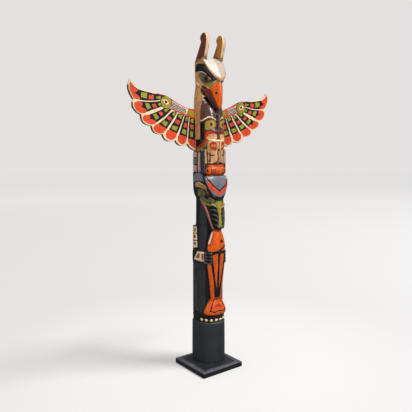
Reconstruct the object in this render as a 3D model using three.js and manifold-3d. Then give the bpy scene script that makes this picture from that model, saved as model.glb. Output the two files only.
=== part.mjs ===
// A carved and painted totem pole about 1.2 m tall: one log with four storeys of figures, two wing
// boards fixed to its flat sides, and the square base plate that it stands on.
// Millimetres, +Z up. The figures face -Y, and the log's centre line is at x = 0.
// From the ground up the log holds a plinth, a ring of claws, a bear-like figure that holds a salmon,
// a beaked figure with folded wings and bent legs, and a horned bird's head with a hooked beak.

import * as THREE from "three";
import { mergeVertices } from "three/addons/utils/BufferGeometryUtils.js";
import Module from "manifold-3d";

// Base plate
const PLATE_SIDE = 178;
const PLATE_THICKNESS = 19;
const PLATE_CHAMFER = 3.5;
const PLATE_SHIFT_X = -17; // the log stands a little to one side of the plate's middle

// Log
const LOG_HALF_WIDTH = 51;
const LOG_BACK_DEPTH = 45; // from the widest line back to the sawn face
const LOG_CENTRE_Y = 10; // the widest line, behind the plate's middle
const LOG_EASED_CORNER = 4;

// Heights of the storeys, from the plate up
const PLINTH_HEIGHT = 152;
const RING_HEIGHT = 28;
const BEAR_HEIGHT = 518;
const MIDDLE_HEIGHT = 268;
const HEAD_HEIGHT = 136;
const HORN_HEIGHT = 86;

// Wing boards
const WING_SPAN = 632; // over the outermost feathers
const WING_THICKNESS = 12;
const WING_SET_IN = 4; // how far the board's back lies in front of the log's sawn back
const WING_EDGE_EASE = 1.2;
const CHEST_HALF_WIDTH = 44.5; // half width of the log between the wing boards

// Carved details
const JOINT_GAP = 0.3;
const CLAW_COUNT = 8;
const CLAW_SIZE = 5.5;
const LEG_GROOVE_WIDTH = 2.6;
const LEG_GROOVE_DEPTH = 3;
const LEG_GROOVE_LENGTH = 186;
const LIP_RADIUS = 4;
const BROW_RADIUS = 4.5;
const FINGER_COUNT = 4;
const WRINKLE_COUNT = 5;
const HORN_THICKNESS = 16;
const HORN_SPREAD = 36.5; // from the centre line to the middle of a horn
const SHIELD_THICKNESS = 22;

const wasm = await Module();
wasm.setup();

// The carving is drawn on the log of this size. Widths follow the log's half width, depths behind the
// widest line follow its back depth, and heights follow the storey that they lie in.
const DRAWN_HALF_WIDTH = 51;
const DRAWN_BACK_DEPTH = 45;
const DRAWN_CENTRE_Y = 10;
const CHEST_DRAWN = (CHEST_HALF_WIDTH * DRAWN_HALF_WIDTH) / LOG_HALF_WIDTH;
const STOREYS = [
  { drawn: 19, height: PLATE_THICKNESS },
  { drawn: 171, height: PLINTH_HEIGHT },
  { drawn: 199, height: RING_HEIGHT },
  { drawn: 717, height: BEAR_HEIGHT },
  { drawn: 985, height: MIDDLE_HEIGHT },
  { drawn: 1121, height: HEAD_HEIGHT },
  { drawn: 1207, height: HORN_HEIGHT },
];

function up(drawnZ) {
  let drawnFoot = 0;
  let foot = 0;
  for (const { drawn, height } of STOREYS) {
    if (drawnZ <= drawn) return foot + ((drawnZ - drawnFoot) * height) / (drawn - drawnFoot);
    drawnFoot = drawn;
    foot += height;
  }
  return foot + (drawnZ - drawnFoot);
}

const across = (drawnX) => (drawnX * LOG_HALF_WIDTH) / DRAWN_HALF_WIDTH;

function back(drawnY) {
  const behind = drawnY - DRAWN_CENTRE_Y;
  const stretch =
    behind > 0 ? LOG_BACK_DEPTH / DRAWN_BACK_DEPTH : LOG_HALF_WIDTH / DRAWN_HALF_WIDTH;
  return LOG_CENTRE_Y + behind * stretch;
}

// Solids

function manifold(geometry) {
  const bare = new THREE.BufferGeometry();
  bare.setAttribute("position", geometry.attributes.position.clone());
  if (geometry.index) bare.setIndex(geometry.index.clone());
  const merged = mergeVertices(bare, 1e-3);
  return new wasm.Manifold(
    new wasm.Mesh({
      numProp: 3,
      vertProperties: new Float32Array(merged.attributes.position.array),
      triVerts: new Uint32Array(merged.index.array),
    }),
  );
}

function moved(geometry, place) {
  const spots = geometry.attributes.position;
  const at = new THREE.Vector3();
  for (let i = 0; i < spots.count; i++) {
    at.fromBufferAttribute(spots, i);
    place(at);
    spots.setXYZ(i, at.x, at.y, at.z);
  }
  return geometry;
}

// A carved form in drawn places, set on the real log.
const carved = (geometry) =>
  manifold(moved(geometry, (at) => at.set(across(at.x), back(at.y), up(at.z))));

function body(name, solid, material) {
  const mesh = solid.getMesh();
  const geometry = new THREE.BufferGeometry();
  geometry.setAttribute("position", new THREE.BufferAttribute(mesh.vertProperties, 3));
  geometry.setIndex(new THREE.BufferAttribute(mesh.triVerts, 1));
  geometry.computeVertexNormals();
  const made = new THREE.Mesh(geometry, material);
  made.name = name;
  return made;
}

// Outlines of level cuts. Each gives a point for a share of the way round, from the front's middle over
// the +X side to the back's middle, on the half that the share lies in.

const power = (value, exponent) => Math.sign(value) * Math.abs(value) ** exponent;

// The log: an oval front, two flat sides and a flat sawn back with eased corners.
const FRONT_STEPS = 6;
const SIDE_STEPS = 1;
const BACK_STEPS = 1;
const LOG_SIDES = 2 * (FRONT_STEPS + SIDE_STEPS + 1 + BACK_STEPS);

function logOutline({ half, front, mid = DRAWN_CENTRE_Y, rear = 55, roundness = 2 }, share) {
  const step = Math.round(share * LOG_SIDES);
  if (step <= FRONT_STEPS) {
    const turn = ((Math.PI / 2) * step) / FRONT_STEPS;
    return [
      half * power(Math.sin(turn), 2 / roundness),
      mid - (mid - front) * power(Math.cos(turn), 2 / roundness),
    ];
  }
  const alongSide = (step - FRONT_STEPS) / SIDE_STEPS;
  if (alongSide <= 1) return [half, mid + alongSide * (rear - LOG_EASED_CORNER - mid)];
  const alongBack = (step - FRONT_STEPS - SIDE_STEPS - 1) / BACK_STEPS;
  return [(half - LOG_EASED_CORNER) * (1 - alongBack), rear];
}

// A rounded form that stands out of the log, such as a beak, a snout or a fish.
function ovalOutline({ half, front, rear, roundness = 2 }, share) {
  const turn = 2 * Math.PI * share;
  const middle = (front + rear) / 2;
  return [
    half * power(Math.sin(turn), 2 / roundness),
    middle - (rear - middle) * power(Math.cos(turn), 2 / roundness),
  ];
}

// A closed form through level cuts, lowest first.
function loft(levels, outline, sides) {
  const rows = levels.length - 1;
  const geometry = new THREE.CylinderGeometry(1, 1, rows, sides, rows);
  return carved(
    moved(geometry, (at) => {
      const level = levels[Math.round(at.y + rows / 2)];
      const reach = Math.hypot(at.x, at.z);
      const share = Math.atan2(at.x, at.z) / (2 * Math.PI);
      const [x, y] = outline(level, Math.abs(share));
      const middle = (level.front + (level.rear ?? 55)) / 2;
      at.set(Math.sign(share) * x * reach, middle + (y - middle) * reach, level.z);
    }),
  );
}

// A rounded swelling with three half sizes, tilted about the X axis and then turned about the Z axis.
function swelling([x, y, z], [hx, hy, hz], tilt = 0, turn = 0, detail = 8) {
  const geometry = new THREE.SphereGeometry(1, detail, detail / 2 + 1);
  geometry.scale(hx, hy, hz).rotateX(tilt).rotateZ(turn).translate(x, y, z);
  return carved(geometry);
}

// A square block with three half sizes and eased front and back edges. Its upright corners can be cut
// off as well, and it can be turned about the Z axis.
function block([x, y, z], [hx, hy, hz], ease, turn = 0, corner = 0) {
  const outline = new THREE.Shape();
  outline.moveTo(corner - hx, -hz);
  outline.lineTo(hx - corner, -hz);
  if (corner) outline.lineTo(hx, corner - hz);
  outline.lineTo(hx, hz - corner);
  if (corner) outline.lineTo(hx - corner, hz);
  outline.lineTo(corner - hx, hz);
  if (corner) outline.lineTo(-hx, hz - corner);
  if (corner) outline.lineTo(-hx, corner - hz);
  const geometry = board(outline, 2 * hy, ease);
  geometry.translate(0, 0, -hy).rotateX(Math.PI / 2);
  geometry.rotateZ(turn).translate(x, y, z);
  return carved(geometry);
}

// The same block with its eased faces towards -X and +X.
const sideBlock = (place, [hx, hy, hz], ease) => block(place, [hy, hx, hz], ease, Math.PI / 2);

// A round bead of wood along a curve, such as a brow, a lip or a finger.
function cord(points, radius, steps = 4, sides = 5) {
  const path = new THREE.CatmullRomCurve3(points.map((point) => new THREE.Vector3(...point)));
  const section = new THREE.Shape();
  for (let i = 0; i < sides; i++) {
    const turn = (2 * Math.PI * i) / sides;
    const x = radius * Math.cos(turn);
    const y = radius * Math.sin(turn);
    if (i === 0) section.moveTo(x, y);
    else section.lineTo(x, y);
  }
  return carved(
    new THREE.ExtrudeGeometry(section, { steps, bevelEnabled: false, extrudePath: path }),
  );
}

// A flat shape given by its outline in a plane, with a thickness and eased edges.
function board(outline, thickness, ease) {
  const geometry = new THREE.ExtrudeGeometry(outline, {
    depth: thickness - 2 * ease,
    bevelEnabled: ease > 0,
    bevelThickness: ease,
    bevelSize: ease,
    bevelOffset: -ease,
    bevelSegments: 1,
    curveSegments: 2,
  });
  return geometry.translate(0, 0, ease);
}

const joined = (solids) => solids.reduce((all, next) => all.add(next));
const bothSides = (make) => joined([make(-1), make(1)]);

// The log's own shape, behind the figures. Each row is a height, a half width, how far the front
// reaches, and how square that front is.
function logBody() {
  const rows = [
    [19, 54.5, -44.5, 2],
    [169, 53, -43, 2],
    [172, 49, -38, 2],
    [198, 49, -36, 2],
    [204, 50, -24, 2.2],
    [380, 50, -22, 2.2],
    [440, 47, -20, 2.2],
    [514, 43, -20, 2.2],
    [532, 36, -18, 2.2],
    [624, 35, -20, 2.2],
    [640, 43, -26, 2.4],
    [664, 48, -28, 2.4],
    [716, 49, -28, 2.4],
    [722, 47, -24, 2.4],
    [790, 47, -24, 2.4],
    [796, CHEST_DRAWN, -4, 6],
    [968, CHEST_DRAWN, -4, 6],
    [990, 43, 2, 4],
    [1016, 39, 4, 3],
  ];
  const levels = rows.map(([z, half, front, roundness]) => ({ z, half, front, roundness }));
  levels[0].z += JOINT_GAP;
  return loft(levels, logOutline, LOG_SIDES);
}

// Foot ring: a raised band round the front, with a row of claws under it.
function footRing() {
  const band = loft(
    [
      { z: 184, half: 46, front: -32 },
      { z: 187, half: 50.5, front: -41 },
      { z: 195, half: 50.5, front: -41 },
      { z: 199, half: 46, front: -34 },
    ],
    logOutline,
    LOG_SIDES,
  );
  const claws = [];
  for (let i = 0; i < CLAW_COUNT; i++) {
    const turn = (Math.PI * (i + 0.5)) / CLAW_COUNT;
    const x = -49 * Math.cos(turn);
    const y = DRAWN_CENTRE_Y - 48 * Math.sin(turn);
    claws.push(swelling([x, y, 180], [CLAW_SIZE, CLAW_SIZE, 4.5], 0, 0, 6));
  }
  return joined([band, ...claws]);
}

// The salmon hangs head up between the bear's hands, and its tail flares onto the foot ring.
function salmon() {
  const fish = (z, half, front, mid) => ({ z, half, front, mid, rear: 0, roundness: 2.1 });
  const shape = loft(
    [
      fish(198, 49, -40, -10),
      fish(206, 50, -42, -12),
      fish(218, 46, -41, -14),
      fish(236, 37, -36, -18),
      fish(253, 28, -30, -20),
      fish(262, 28, -31, -21),
      fish(330, 33, -36, -21),
      fish(405, 40, -40, -21),
      fish(441, 40, -42, -21),
      fish(470, 36, -42, -21),
      fish(498, 27, -40, -21),
      fish(518, 16, -34, -20),
    ],
    logOutline,
    LOG_SIDES,
  );
  const gill = cord(
    [
      [-34, -30, 434],
      [-20, -37, 431],
      [0, -42, 437],
      [20, -37, 452],
      [34, -30, 468],
    ],
    2.4,
  );
  return shape.add(gill);
}

// The bear's arms come down its back edges, turn forward at the elbow and close on the salmon.
function arms() {
  const forearm = loft(
    [
      { z: 388, half: 49, front: -20 },
      { z: 392, half: 52, front: -24 },
      { z: 430, half: 52, front: -24 },
      { z: 436, half: 48, front: -20 },
    ],
    logOutline,
    LOG_SIDES,
  );
  const armOnSide = (side) => {
    const upper = sideBlock([side * 44, 41.5, 480], [6.5, 12, 46], 2.5);
    const fingers = [];
    for (let i = 0; i < FINGER_COUNT; i++) {
      const z = 394 + i * 11.6;
      const knuckle = [
        [side * 42, -10, z],
        [side * 39, -23, z],
        [side * 28, -36, z],
      ];
      fingers.push(cord(knuckle, 6.2, 3));
    }
    return joined([upper, ...fingers]);
  };
  return forearm.add(bothSides(armOnSide));
}

// The bear's head: an overhanging brow shield, ears, ridged brows, eyes, a jaw with lips round it, and
// a wrinkled snout.
function bearHead() {
  const shield = loft(
    [
      { z: 622, half: 6, front: -41, rear: -20, roundness: 2.6 },
      { z: 626, half: 16, front: -44, rear: -16, roundness: 2.6 },
      { z: 640, half: 31, front: -44, rear: -4, roundness: 2.6 },
      { z: 656, half: 41, front: -43.5, rear: 4, roundness: 2.8 },
      { z: 674, half: 49, front: -43, rear: 10, roundness: 3 },
      { z: 692, half: 50, front: -41, rear: 10, roundness: 3 },
      { z: 704, half: 49, front: -38, rear: 10, roundness: 3 },
      { z: 709, half: 44, front: -33, rear: 8, roundness: 3 },
    ],
    ovalOutline,
    16,
  );
  const snout = loft(
    [
      { z: 511, half: 9, front: -40, rear: -10, roundness: 2.4 },
      { z: 517, half: 18, front: -46, rear: 0, roundness: 2.6 },
      { z: 540, half: 23, front: -47, rear: 4, roundness: 2.6 },
      { z: 575, half: 26, front: -44, rear: 4, roundness: 2.6 },
      { z: 610, half: 30, front: -39, rear: 4, roundness: 2.6 },
      { z: 632, half: 36, front: -36, rear: 4, roundness: 2.6 },
    ],
    ovalOutline,
    14,
  );
  const jaw = loft(
    [
      { z: 505, half: 22, front: -37, rear: 20, roundness: 2.6 },
      { z: 518, half: 26, front: -39, rear: 24, roundness: 2.6 },
      { z: 540, half: 33, front: -38, rear: 26, roundness: 2.6 },
      { z: 570, half: 39, front: -34, rear: 28, roundness: 2.6 },
      { z: 604, half: 43, front: -31, rear: 30, roundness: 2.6 },
      { z: 632, half: 44, front: -28, rear: 30, roundness: 2.6 },
    ],
    ovalOutline,
    14,
  );
  const half = (side) => {
    const ear = swelling([side * 43, 20, 684], [8, 28, 34]);
    const brow = cord(
      [
        [side * 49, 30, 674],
        [side * 49, 12, 682],
        [side * 46, -10, 676],
        [side * 37, -27, 655],
        [side * 18, -40, 632],
      ],
      BROW_RADIUS + 1,
    );
    const cheek = swelling([side * 30, -4, 645], [14, 27, 22]);
    const eye = swelling([side * 37, -16, 638], [6, 15, 9], 0.45, -side * 0.75);
    const lip = cord(
      [
        [side * 44, 14, 626],
        [side * 42, -8, 604],
        [side * 37, -22, 570],
        [side * 30, -30, 540],
        [side * 22, -36, 517],
      ],
      LIP_RADIUS,
    );
    const wrinkles = [];
    for (let i = 0; i < WRINKLE_COUNT; i++) {
      const z = 606 - i * 18;
      const reach = 29 - i * 1.9;
      wrinkles.push(
        cord(
          [
            [side * reach, -20, z - 8],
            [side * (reach - 1), -33, z],
            [side * (reach - 9), -43 - i * 0.8, z - 4],
            [side * 9, -43 - i, z - 14],
          ],
          3.4,
          3,
          4,
        ),
      );
    }
    return joined([ear, brow, cheek, eye, lip, ...wrinkles]);
  };
  return joined([shield, snout, jaw, bothSides(half)]);
}

// The middle figure: legs with square knees over curled feet, folded wings, a wide mouth, brows, eyes
// and a long straight beak down the middle of its face.
function middleFigure() {
  const toes = (z, half, front) => ({ z, half, front, rear: 21, roundness: 3 });
  const feet = loft(
    [
      toes(713, 38, -34),
      toes(718, 42, -39.5),
      toes(728, 43, -41),
      toes(737, 41, -38.5),
      toes(741, 36, -33),
      toes(756, 36, -33),
    ],
    ovalOutline,
    14,
  );
  const face = loft(
    [
      { z: 786, half: 39, front: -22, mid: 4 },
      { z: 815, half: 42.5, front: -34, mid: 4 },
      { z: 838, half: 42.5, front: -36, mid: 4 },
      { z: 872, half: 42.5, front: -32, mid: 4 },
      { z: 916, half: 42.5, front: -28, mid: 4 },
      { z: 942, half: 42, front: -23, mid: 4 },
      { z: 960, half: 40, front: -14, mid: 4 },
      { z: 974, half: 35, front: -5, mid: 6 },
      { z: 982, half: 28, front: 2, mid: 8 },
    ],
    logOutline,
    LOG_SIDES,
  );
  const beak = block([0, -31, 881], [3.7, 9, 45], 1.2);
  const half = (side) => {
    const blocks = [
      [816, 13, 14.5, -36],
      [792, 10.5, 13.5, -34],
      [769, 12, 13.5, -34.5],
    ];
    const leg = blocks.map(([z, hz, hx, front]) =>
      block([side * 8, front + 16, z], [hx, 18, hz], 2.5, side * 0.5, 3),
    );
    const brow = cord(
      [
        [side * 43, 8, 903],
        [side * 38, -9, 910],
        [side * 25, -22, 919],
        [side * 12, -27, 914],
        [side * 5, -29, 904],
      ],
      BROW_RADIUS - 1,
    );
    const eye = swelling([side * 24, -20, 890], [12, 5, 13], 0, side * 0.6);
    const lip = cord(
      [
        [side * 40, -7, 840],
        [side * 36, -18, 856],
        [side * 26, -28, 867],
        [side * 12, -33, 867],
        [side * 2, -34, 864],
      ],
      LIP_RADIUS,
    );
    const chin = cord(
      [
        [side * 38, -12, 833],
        [side * 26, -29, 832],
        [side * 12, -37, 831],
        [side * 1, -38, 831],
      ],
      LIP_RADIUS - 0.5,
      3,
      4,
    );
    const shoulder = cord(
      [
        [side * 38, -14, 838],
        [side * 42, 2, 826],
        [side * 44, 16, 814],
        [side * 44, 30, 806],
      ],
      LIP_RADIUS + 1,
      3,
      4,
    );
    const wingEdge = cord(
      [
        [side * 37, -18, 828],
        [side * 43, 0, 811],
        [side * 45, 16, 801],
        [side * 45, 30, 797],
      ],
      LIP_RADIUS + 1.5,
      3,
      4,
    );
    const plumes = [
      [-7, 10.5, 762, 42],
      [18, 5, 764, 34],
    ].map(([y, hy, z, hz]) => sideBlock([side * 43, y, z], [6.5, hy, hz], 2));
    for (let i = 0; i < 3; i++) {
      plumes.push(sideBlock([side * 43, 42, 735 + i * 24], [6, 11.5, 11], 2));
    }
    return joined([...leg, brow, eye, lip, chin, shoulder, wingEdge, ...plumes]);
  };
  return joined([feet, face, beak, bothSides(half)]);
}

// The bird's head at the top, with its hooked beak, its peaked brow shield and two upright horns.
function birdHead() {
  const skull = loft(
    [
      { z: 1008, half: 37, front: 4, mid: 18, rear: 54 },
      { z: 1020, half: 38, front: -16, mid: 18, rear: 53 },
      { z: 1034, half: 39, front: -29, mid: 18, rear: 52 },
      { z: 1050, half: 40.5, front: -36, mid: 18, rear: 52 },
      { z: 1072, half: 41.5, front: -27, mid: 18, rear: 52 },
      { z: 1096, half: 42, front: -9, mid: 18, rear: 52 },
      { z: 1114, half: 42, front: 3, mid: 20, rear: 51 },
      { z: 1124, half: 40, front: 10, mid: 24, rear: 44 },
    ],
    logOutline,
    LOG_SIDES,
  );
  const hook = (z, half, front, rear) => ({ z, half, front, rear, roundness: 1.4 });
  const beak = loft(
    [
      hook(937, 4, -36, -26),
      hook(942, 8, -43, -22),
      hook(954, 14, -50.5, -10),
      hook(974, 23, -52.5, 12),
      hook(996, 30, -52, 34),
      hook(1016, 34.5, -49.5, 40),
      hook(1034, 36, -46, 42),
      hook(1048, 34, -40, 40),
    ],
    ovalOutline,
    14,
  );
  const half = (side) => {
    const brow = cord(
      [
        [side * 38, 44, 1079],
        [side * 38, 32, 1093],
        [side * 38, 14, 1096],
        [side * 34, -6, 1083],
        [side * 26, -22, 1062],
        [side * 15, -33, 1045],
      ],
      BROW_RADIUS + 3,
    );
    const eye = swelling([side * 36, -8, 1051], [6, 19, 9.5], 0.35, -side * 0.42);
    const mouth = cord(
      [
        [side * 38, 20, 1026],
        [side * 36, 5, 1014],
        [side * 29, -9, 992],
        [side * 20, -20, 968],
        [side * 10, -28, 948],
      ],
      LIP_RADIUS,
    );
    return joined([brow, eye, mouth, horn(side)]);
  };
  return joined([skull, beak, browShield(), bothSides(half)]);
}

// A shield-shaped plate that slopes forward over the beak, with a ridge down its middle.
function browShield() {
  const outline = new THREE.Shape();
  outline.moveTo(-42, 8);
  outline.lineTo(-44, -8);
  outline.quadraticCurveTo(-42, -30, -22, -44);
  outline.quadraticCurveTo(-8, -52, 0, -52);
  outline.quadraticCurveTo(8, -52, 22, -44);
  outline.quadraticCurveTo(42, -30, 44, -8);
  outline.lineTo(42, 8);
  outline.lineTo(0, 8);
  const top = 1128;
  const slope = 1;
  const bend = 0.009;
  const fall = 0.1;
  const plate = board(outline, SHIELD_THICKNESS, 1.5);
  moved(plate, (at) => {
    const ahead = Math.max(0, 4 - at.y);
    at.z += top - SHIELD_THICKNESS - (slope + bend * ahead) * ahead - fall * Math.abs(at.x);
  });
  return carved(plate);
}

// An upright horn, cut from plank-thick wood: it leans forward and has a knob behind its tip.
function horn(side) {
  const profile = new THREE.Shape();
  profile.moveTo(-2, 1112);
  profile.quadraticCurveTo(-16, 1146, -21, 1172);
  profile.quadraticCurveTo(-23, 1194, -14, 1203);
  profile.quadraticCurveTo(-4, 1210, 8, 1202);
  profile.quadraticCurveTo(20, 1194, 14, 1184);
  profile.quadraticCurveTo(9, 1178, 13, 1172);
  profile.quadraticCurveTo(26, 1148, 44, 1118);
  profile.lineTo(46, 1104);
  profile.lineTo(2, 1096);
  const plank = board(profile, HORN_THICKNESS, 1.5);
  moved(plank, (at) => at.set(at.z - HORN_THICKNESS / 2 + side * HORN_SPREAD, at.x, at.y));
  return carved(plank);
}

function pole() {
  const flank = 50;
  const groove = (side) => {
    const cut = new THREE.BoxGeometry(2 * LEG_GROOVE_DEPTH, LEG_GROOVE_WIDTH, LEG_GROOVE_LENGTH);
    return carved(cut.translate(side * flank, 26, 264));
  };
  return joined([
    logBody(),
    footRing(),
    salmon(),
    arms(),
    bearHead(),
    middleFigure(),
    birdHead(),
  ]).subtract(bothSides(groove));
}

// A wing board: a wavy top edge and a fan of feathers with round ends. Its root is square against the
// log's side, and its points are given as distances from the log's centre line and drawn heights.
const DRAWN_HALF_SPAN = 315.3;
const FEATHER_SWELL = 0.5; // how far a feather's round end stands out, as a share of its width
const TIP_SWELL = 0.36;
const ROOT_SWELL = 0.2;
const WING_TOP_EDGE = [
  [44.5, 946],
  [84, 949],
  [122, 963],
  [154, 979],
  [177, 987],
  [208, 991],
  [247, 995],
  [281, 1002],
  [301, 1016],
  [309, 1028],
];
const FEATHER_CUSPS = [
  [309, 1028],
  [298, 966],
  [269, 916],
  [229, 881],
  [186, 854],
  [132, 834],
  [80, 822],
];
const WING_ROOT_LOW = [44.5, 797];

function wing(side) {
  const root = CHEST_HALF_WIDTH + JOINT_GAP;
  const outward = (x) =>
    root + ((x - WING_ROOT_LOW[0]) * (WING_SPAN / 2 - root)) / (DRAWN_HALF_SPAN - WING_ROOT_LOW[0]);
  const place = ([x, z]) => new THREE.Vector2(outward(x), up(z));
  const shape = new THREE.Shape();
  shape.moveTo(root, up(WING_TOP_EDGE[0][1]));
  shape.splineThru(WING_TOP_EDGE.slice(1).map(place));
  const ends = [...FEATHER_CUSPS, WING_ROOT_LOW].map(place);
  for (let i = 1; i < ends.length; i++) {
    const from = ends[i - 1];
    const to = ends[i];
    const chord = to.clone().sub(from);
    const outwards = new THREE.Vector2(-chord.y, chord.x);
    const swell = i === 1 ? TIP_SWELL : i === ends.length - 1 ? ROOT_SWELL : FEATHER_SWELL;
    const control = from.clone().addScaledVector(chord, 0.38).addScaledVector(outwards, swell);
    shape.quadraticCurveTo(control.x, control.y, to.x, to.y);
  }
  const plank = board(shape, WING_THICKNESS, WING_EDGE_EASE);
  const sawnBack = LOG_CENTRE_Y + LOG_BACK_DEPTH - WING_SET_IN;
  moved(plank, (at) => at.set(at.x, sawnBack - at.z, at.y));
  if (side > 0) return manifold(plank);
  return manifold(turnedOver(plank));
}

// The same board for the other side: mirrored across x = 0, with its faces turned to point out again.
function turnedOver(geometry) {
  const flat = geometry.index ? geometry.toNonIndexed() : geometry.clone();
  moved(flat, (at) => at.set(-at.x, at.y, at.z));
  const spots = flat.attributes.position;
  const first = new THREE.Vector3();
  const second = new THREE.Vector3();
  for (let i = 0; i < spots.count; i += 3) {
    first.fromBufferAttribute(spots, i + 1);
    second.fromBufferAttribute(spots, i + 2);
    spots.setXYZ(i + 1, second.x, second.y, second.z);
    spots.setXYZ(i + 2, first.x, first.y, first.z);
  }
  return flat;
}

function basePlate() {
  const corner = (PLATE_SIDE / 2) * Math.SQRT2;
  const profile = [
    new THREE.Vector2(0, 0),
    new THREE.Vector2(corner, 0),
    new THREE.Vector2(corner, PLATE_THICKNESS - PLATE_CHAMFER),
    new THREE.Vector2(corner - PLATE_CHAMFER * Math.SQRT2, PLATE_THICKNESS),
    new THREE.Vector2(0, PLATE_THICKNESS),
  ];
  const square = new THREE.LatheGeometry(profile, 4, Math.PI / 4);
  square.rotateX(Math.PI / 2).translate(PLATE_SHIFT_X, 0, 0);
  return manifold(square);
}

const paintedWood = (color, roughness) =>
  new THREE.MeshStandardMaterial({ color, roughness, metalness: 0 });

const group = new THREE.Group();
group.add(body("base_plate", basePlate(), paintedWood(0x1c1c1e, 0.6)));
group.add(body("pole", pole(), paintedWood(0x3c3431, 0.5)));
group.add(body("wing_left", wing(-1), paintedWood(0xe9cfae, 0.5)));
group.add(body("wing_right", wing(1), paintedWood(0xe9cfae, 0.5)));

export default group;
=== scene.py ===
"""A carved and painted totem pole: one log with figures one above another, two painted wing boards
and a square base plate. Lengths are drawn in millimetres and set in metres. The figures face -Y."""
import math

import bmesh
import bpy
import numpy as np
from mathutils import Matrix, Vector


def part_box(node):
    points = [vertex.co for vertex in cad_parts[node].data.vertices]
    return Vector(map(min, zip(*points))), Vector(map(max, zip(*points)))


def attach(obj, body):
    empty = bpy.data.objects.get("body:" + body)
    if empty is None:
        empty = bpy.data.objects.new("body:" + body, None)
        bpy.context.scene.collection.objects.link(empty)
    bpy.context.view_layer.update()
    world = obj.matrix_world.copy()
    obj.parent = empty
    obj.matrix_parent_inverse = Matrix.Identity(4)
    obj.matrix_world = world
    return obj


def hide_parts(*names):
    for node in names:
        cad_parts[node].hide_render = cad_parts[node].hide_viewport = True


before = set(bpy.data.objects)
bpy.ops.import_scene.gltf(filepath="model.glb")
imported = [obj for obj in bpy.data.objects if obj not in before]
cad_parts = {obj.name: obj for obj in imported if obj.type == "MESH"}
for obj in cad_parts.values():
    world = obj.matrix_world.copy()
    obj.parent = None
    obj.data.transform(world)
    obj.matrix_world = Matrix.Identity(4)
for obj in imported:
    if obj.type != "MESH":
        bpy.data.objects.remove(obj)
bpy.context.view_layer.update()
scene = bpy.context.scene
MM = 0.001

# The camera stands in front and to the left of the pole, a little above its middle.
CAMERA_PLACE = (-1.110, -1.403, 0.782)
CAMERA_LOOKS_DOWN = 5.9  # degrees under level
CAMERA_TURN = -37.62  # degrees about Z, from looking along +Y
camera_data = bpy.data.cameras.new("camera")
camera_data.sensor_width = 36
camera_data.lens = 42.94
camera = bpy.data.objects.new("camera", camera_data)
camera.location = CAMERA_PLACE
camera.rotation_euler = (math.radians(90 - CAMERA_LOOKS_DOWN), 0, math.radians(CAMERA_TURN))
scene.collection.objects.link(camera)
scene.camera = camera
scene.view_settings.view_transform = "Standard"

# Sizes of the carving
LOG_MIDDLE_Y = 10
LOG_BACK_Y = 55
LOG_CORNER = 4
LOG_ROUND = 51  # the radius that lengths round the log are measured on
WING_FRONT_Y = 39
WING_BACK_Y = 52.5
CARVING_GRAIN = 1.95  # the size of the mesh that the whole carving is cut from
CARVING_TRIANGLES = 196000
BOARD_GRAIN = 1.5
BOARD_TRIANGLES = 90000
CUT_POINTS = 144  # the points round one level cut of a form
EASED = dict(profile=0.5, affect="EDGES", material=-1)  # how bevels round an edge
CLAW_TURNS = [math.pi * (i + 0.5) / 8 for i in range(8)]
# Where the cut of the log goes over from its round front to its side, its corner and its back
FRONT_ENDS, SIDE_ENDS, CORNER_ENDS = 0.6, 0.75, 0.8


def eased(spots, values, at):
    """A smooth line through given values, which doesn't swing past them."""
    spots, values = np.array(spots, float), np.array(values, float)
    slope = np.diff(values) / np.diff(spots)
    lean = np.zeros(len(spots))
    lean[0], lean[-1] = slope[0], slope[-1]
    for i in range(1, len(spots) - 1):
        if slope[i - 1] * slope[i] > 0:
            lean[i] = 2 * slope[i - 1] * slope[i] / (slope[i - 1] + slope[i])
    i = np.clip(np.searchsorted(spots, at) - 1, 0, len(spots) - 2)
    gap = spots[i + 1] - spots[i]
    t = np.clip((at - spots[i]) / gap, 0, 1)
    low, high = values[i], values[i + 1]
    return (
        low * (1 + 2 * t) * (1 - t) ** 2
        + high * t * t * (3 - 2 * t)
        + gap * (lean[i] * t * (1 - t) ** 2 - lean[i + 1] * t * t * (1 - t))
    )


def power(value, exponent):
    return math.copysign(abs(value) ** exponent, value)


def log_cut(share, half, front, middle, rear, squareness):
    """A point of the log's level cut: a rounded front, flat sides and a flat sawn back."""
    if share < FRONT_ENDS:
        turn = math.pi / 2 * share / FRONT_ENDS
        return (
            half * power(math.sin(turn), 2 / squareness),
            middle - (middle - front) * power(math.cos(turn), 2 / squareness),
        )
    if share < SIDE_ENDS:
        along = (share - FRONT_ENDS) / (SIDE_ENDS - FRONT_ENDS)
        return half, middle + (rear - LOG_CORNER - middle) * along
    if share < CORNER_ENDS:
        turn = math.pi / 2 * (share - SIDE_ENDS) / (CORNER_ENDS - SIDE_ENDS)
        return (
            half - LOG_CORNER + LOG_CORNER * math.cos(turn),
            rear - LOG_CORNER + LOG_CORNER * math.sin(turn),
        )
    return (half - LOG_CORNER) * (1 - share) / (1 - CORNER_ENDS), rear


def oval_cut(share, half, front, _, rear, squareness):
    """A point of the level cut of a form that stands out of the log, such as a beak or a snout."""
    turn = math.pi * share
    centre, depth = (front + rear) / 2, (rear - front) / 2
    return (
        half * power(math.sin(turn), 2 / squareness),
        centre - depth * power(math.cos(turn), 2 / squareness),
    )


carving = bmesh.new()


def add_to_carving(form):
    """Puts a finished form into the carving, with its faces turned outwards."""
    bmesh.ops.recalc_face_normals(form, faces=form.faces)
    mesh = bpy.data.meshes.new("form")
    form.to_mesh(mesh)
    form.free()
    carving.from_mesh(mesh)
    bpy.data.meshes.remove(mesh)


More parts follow.
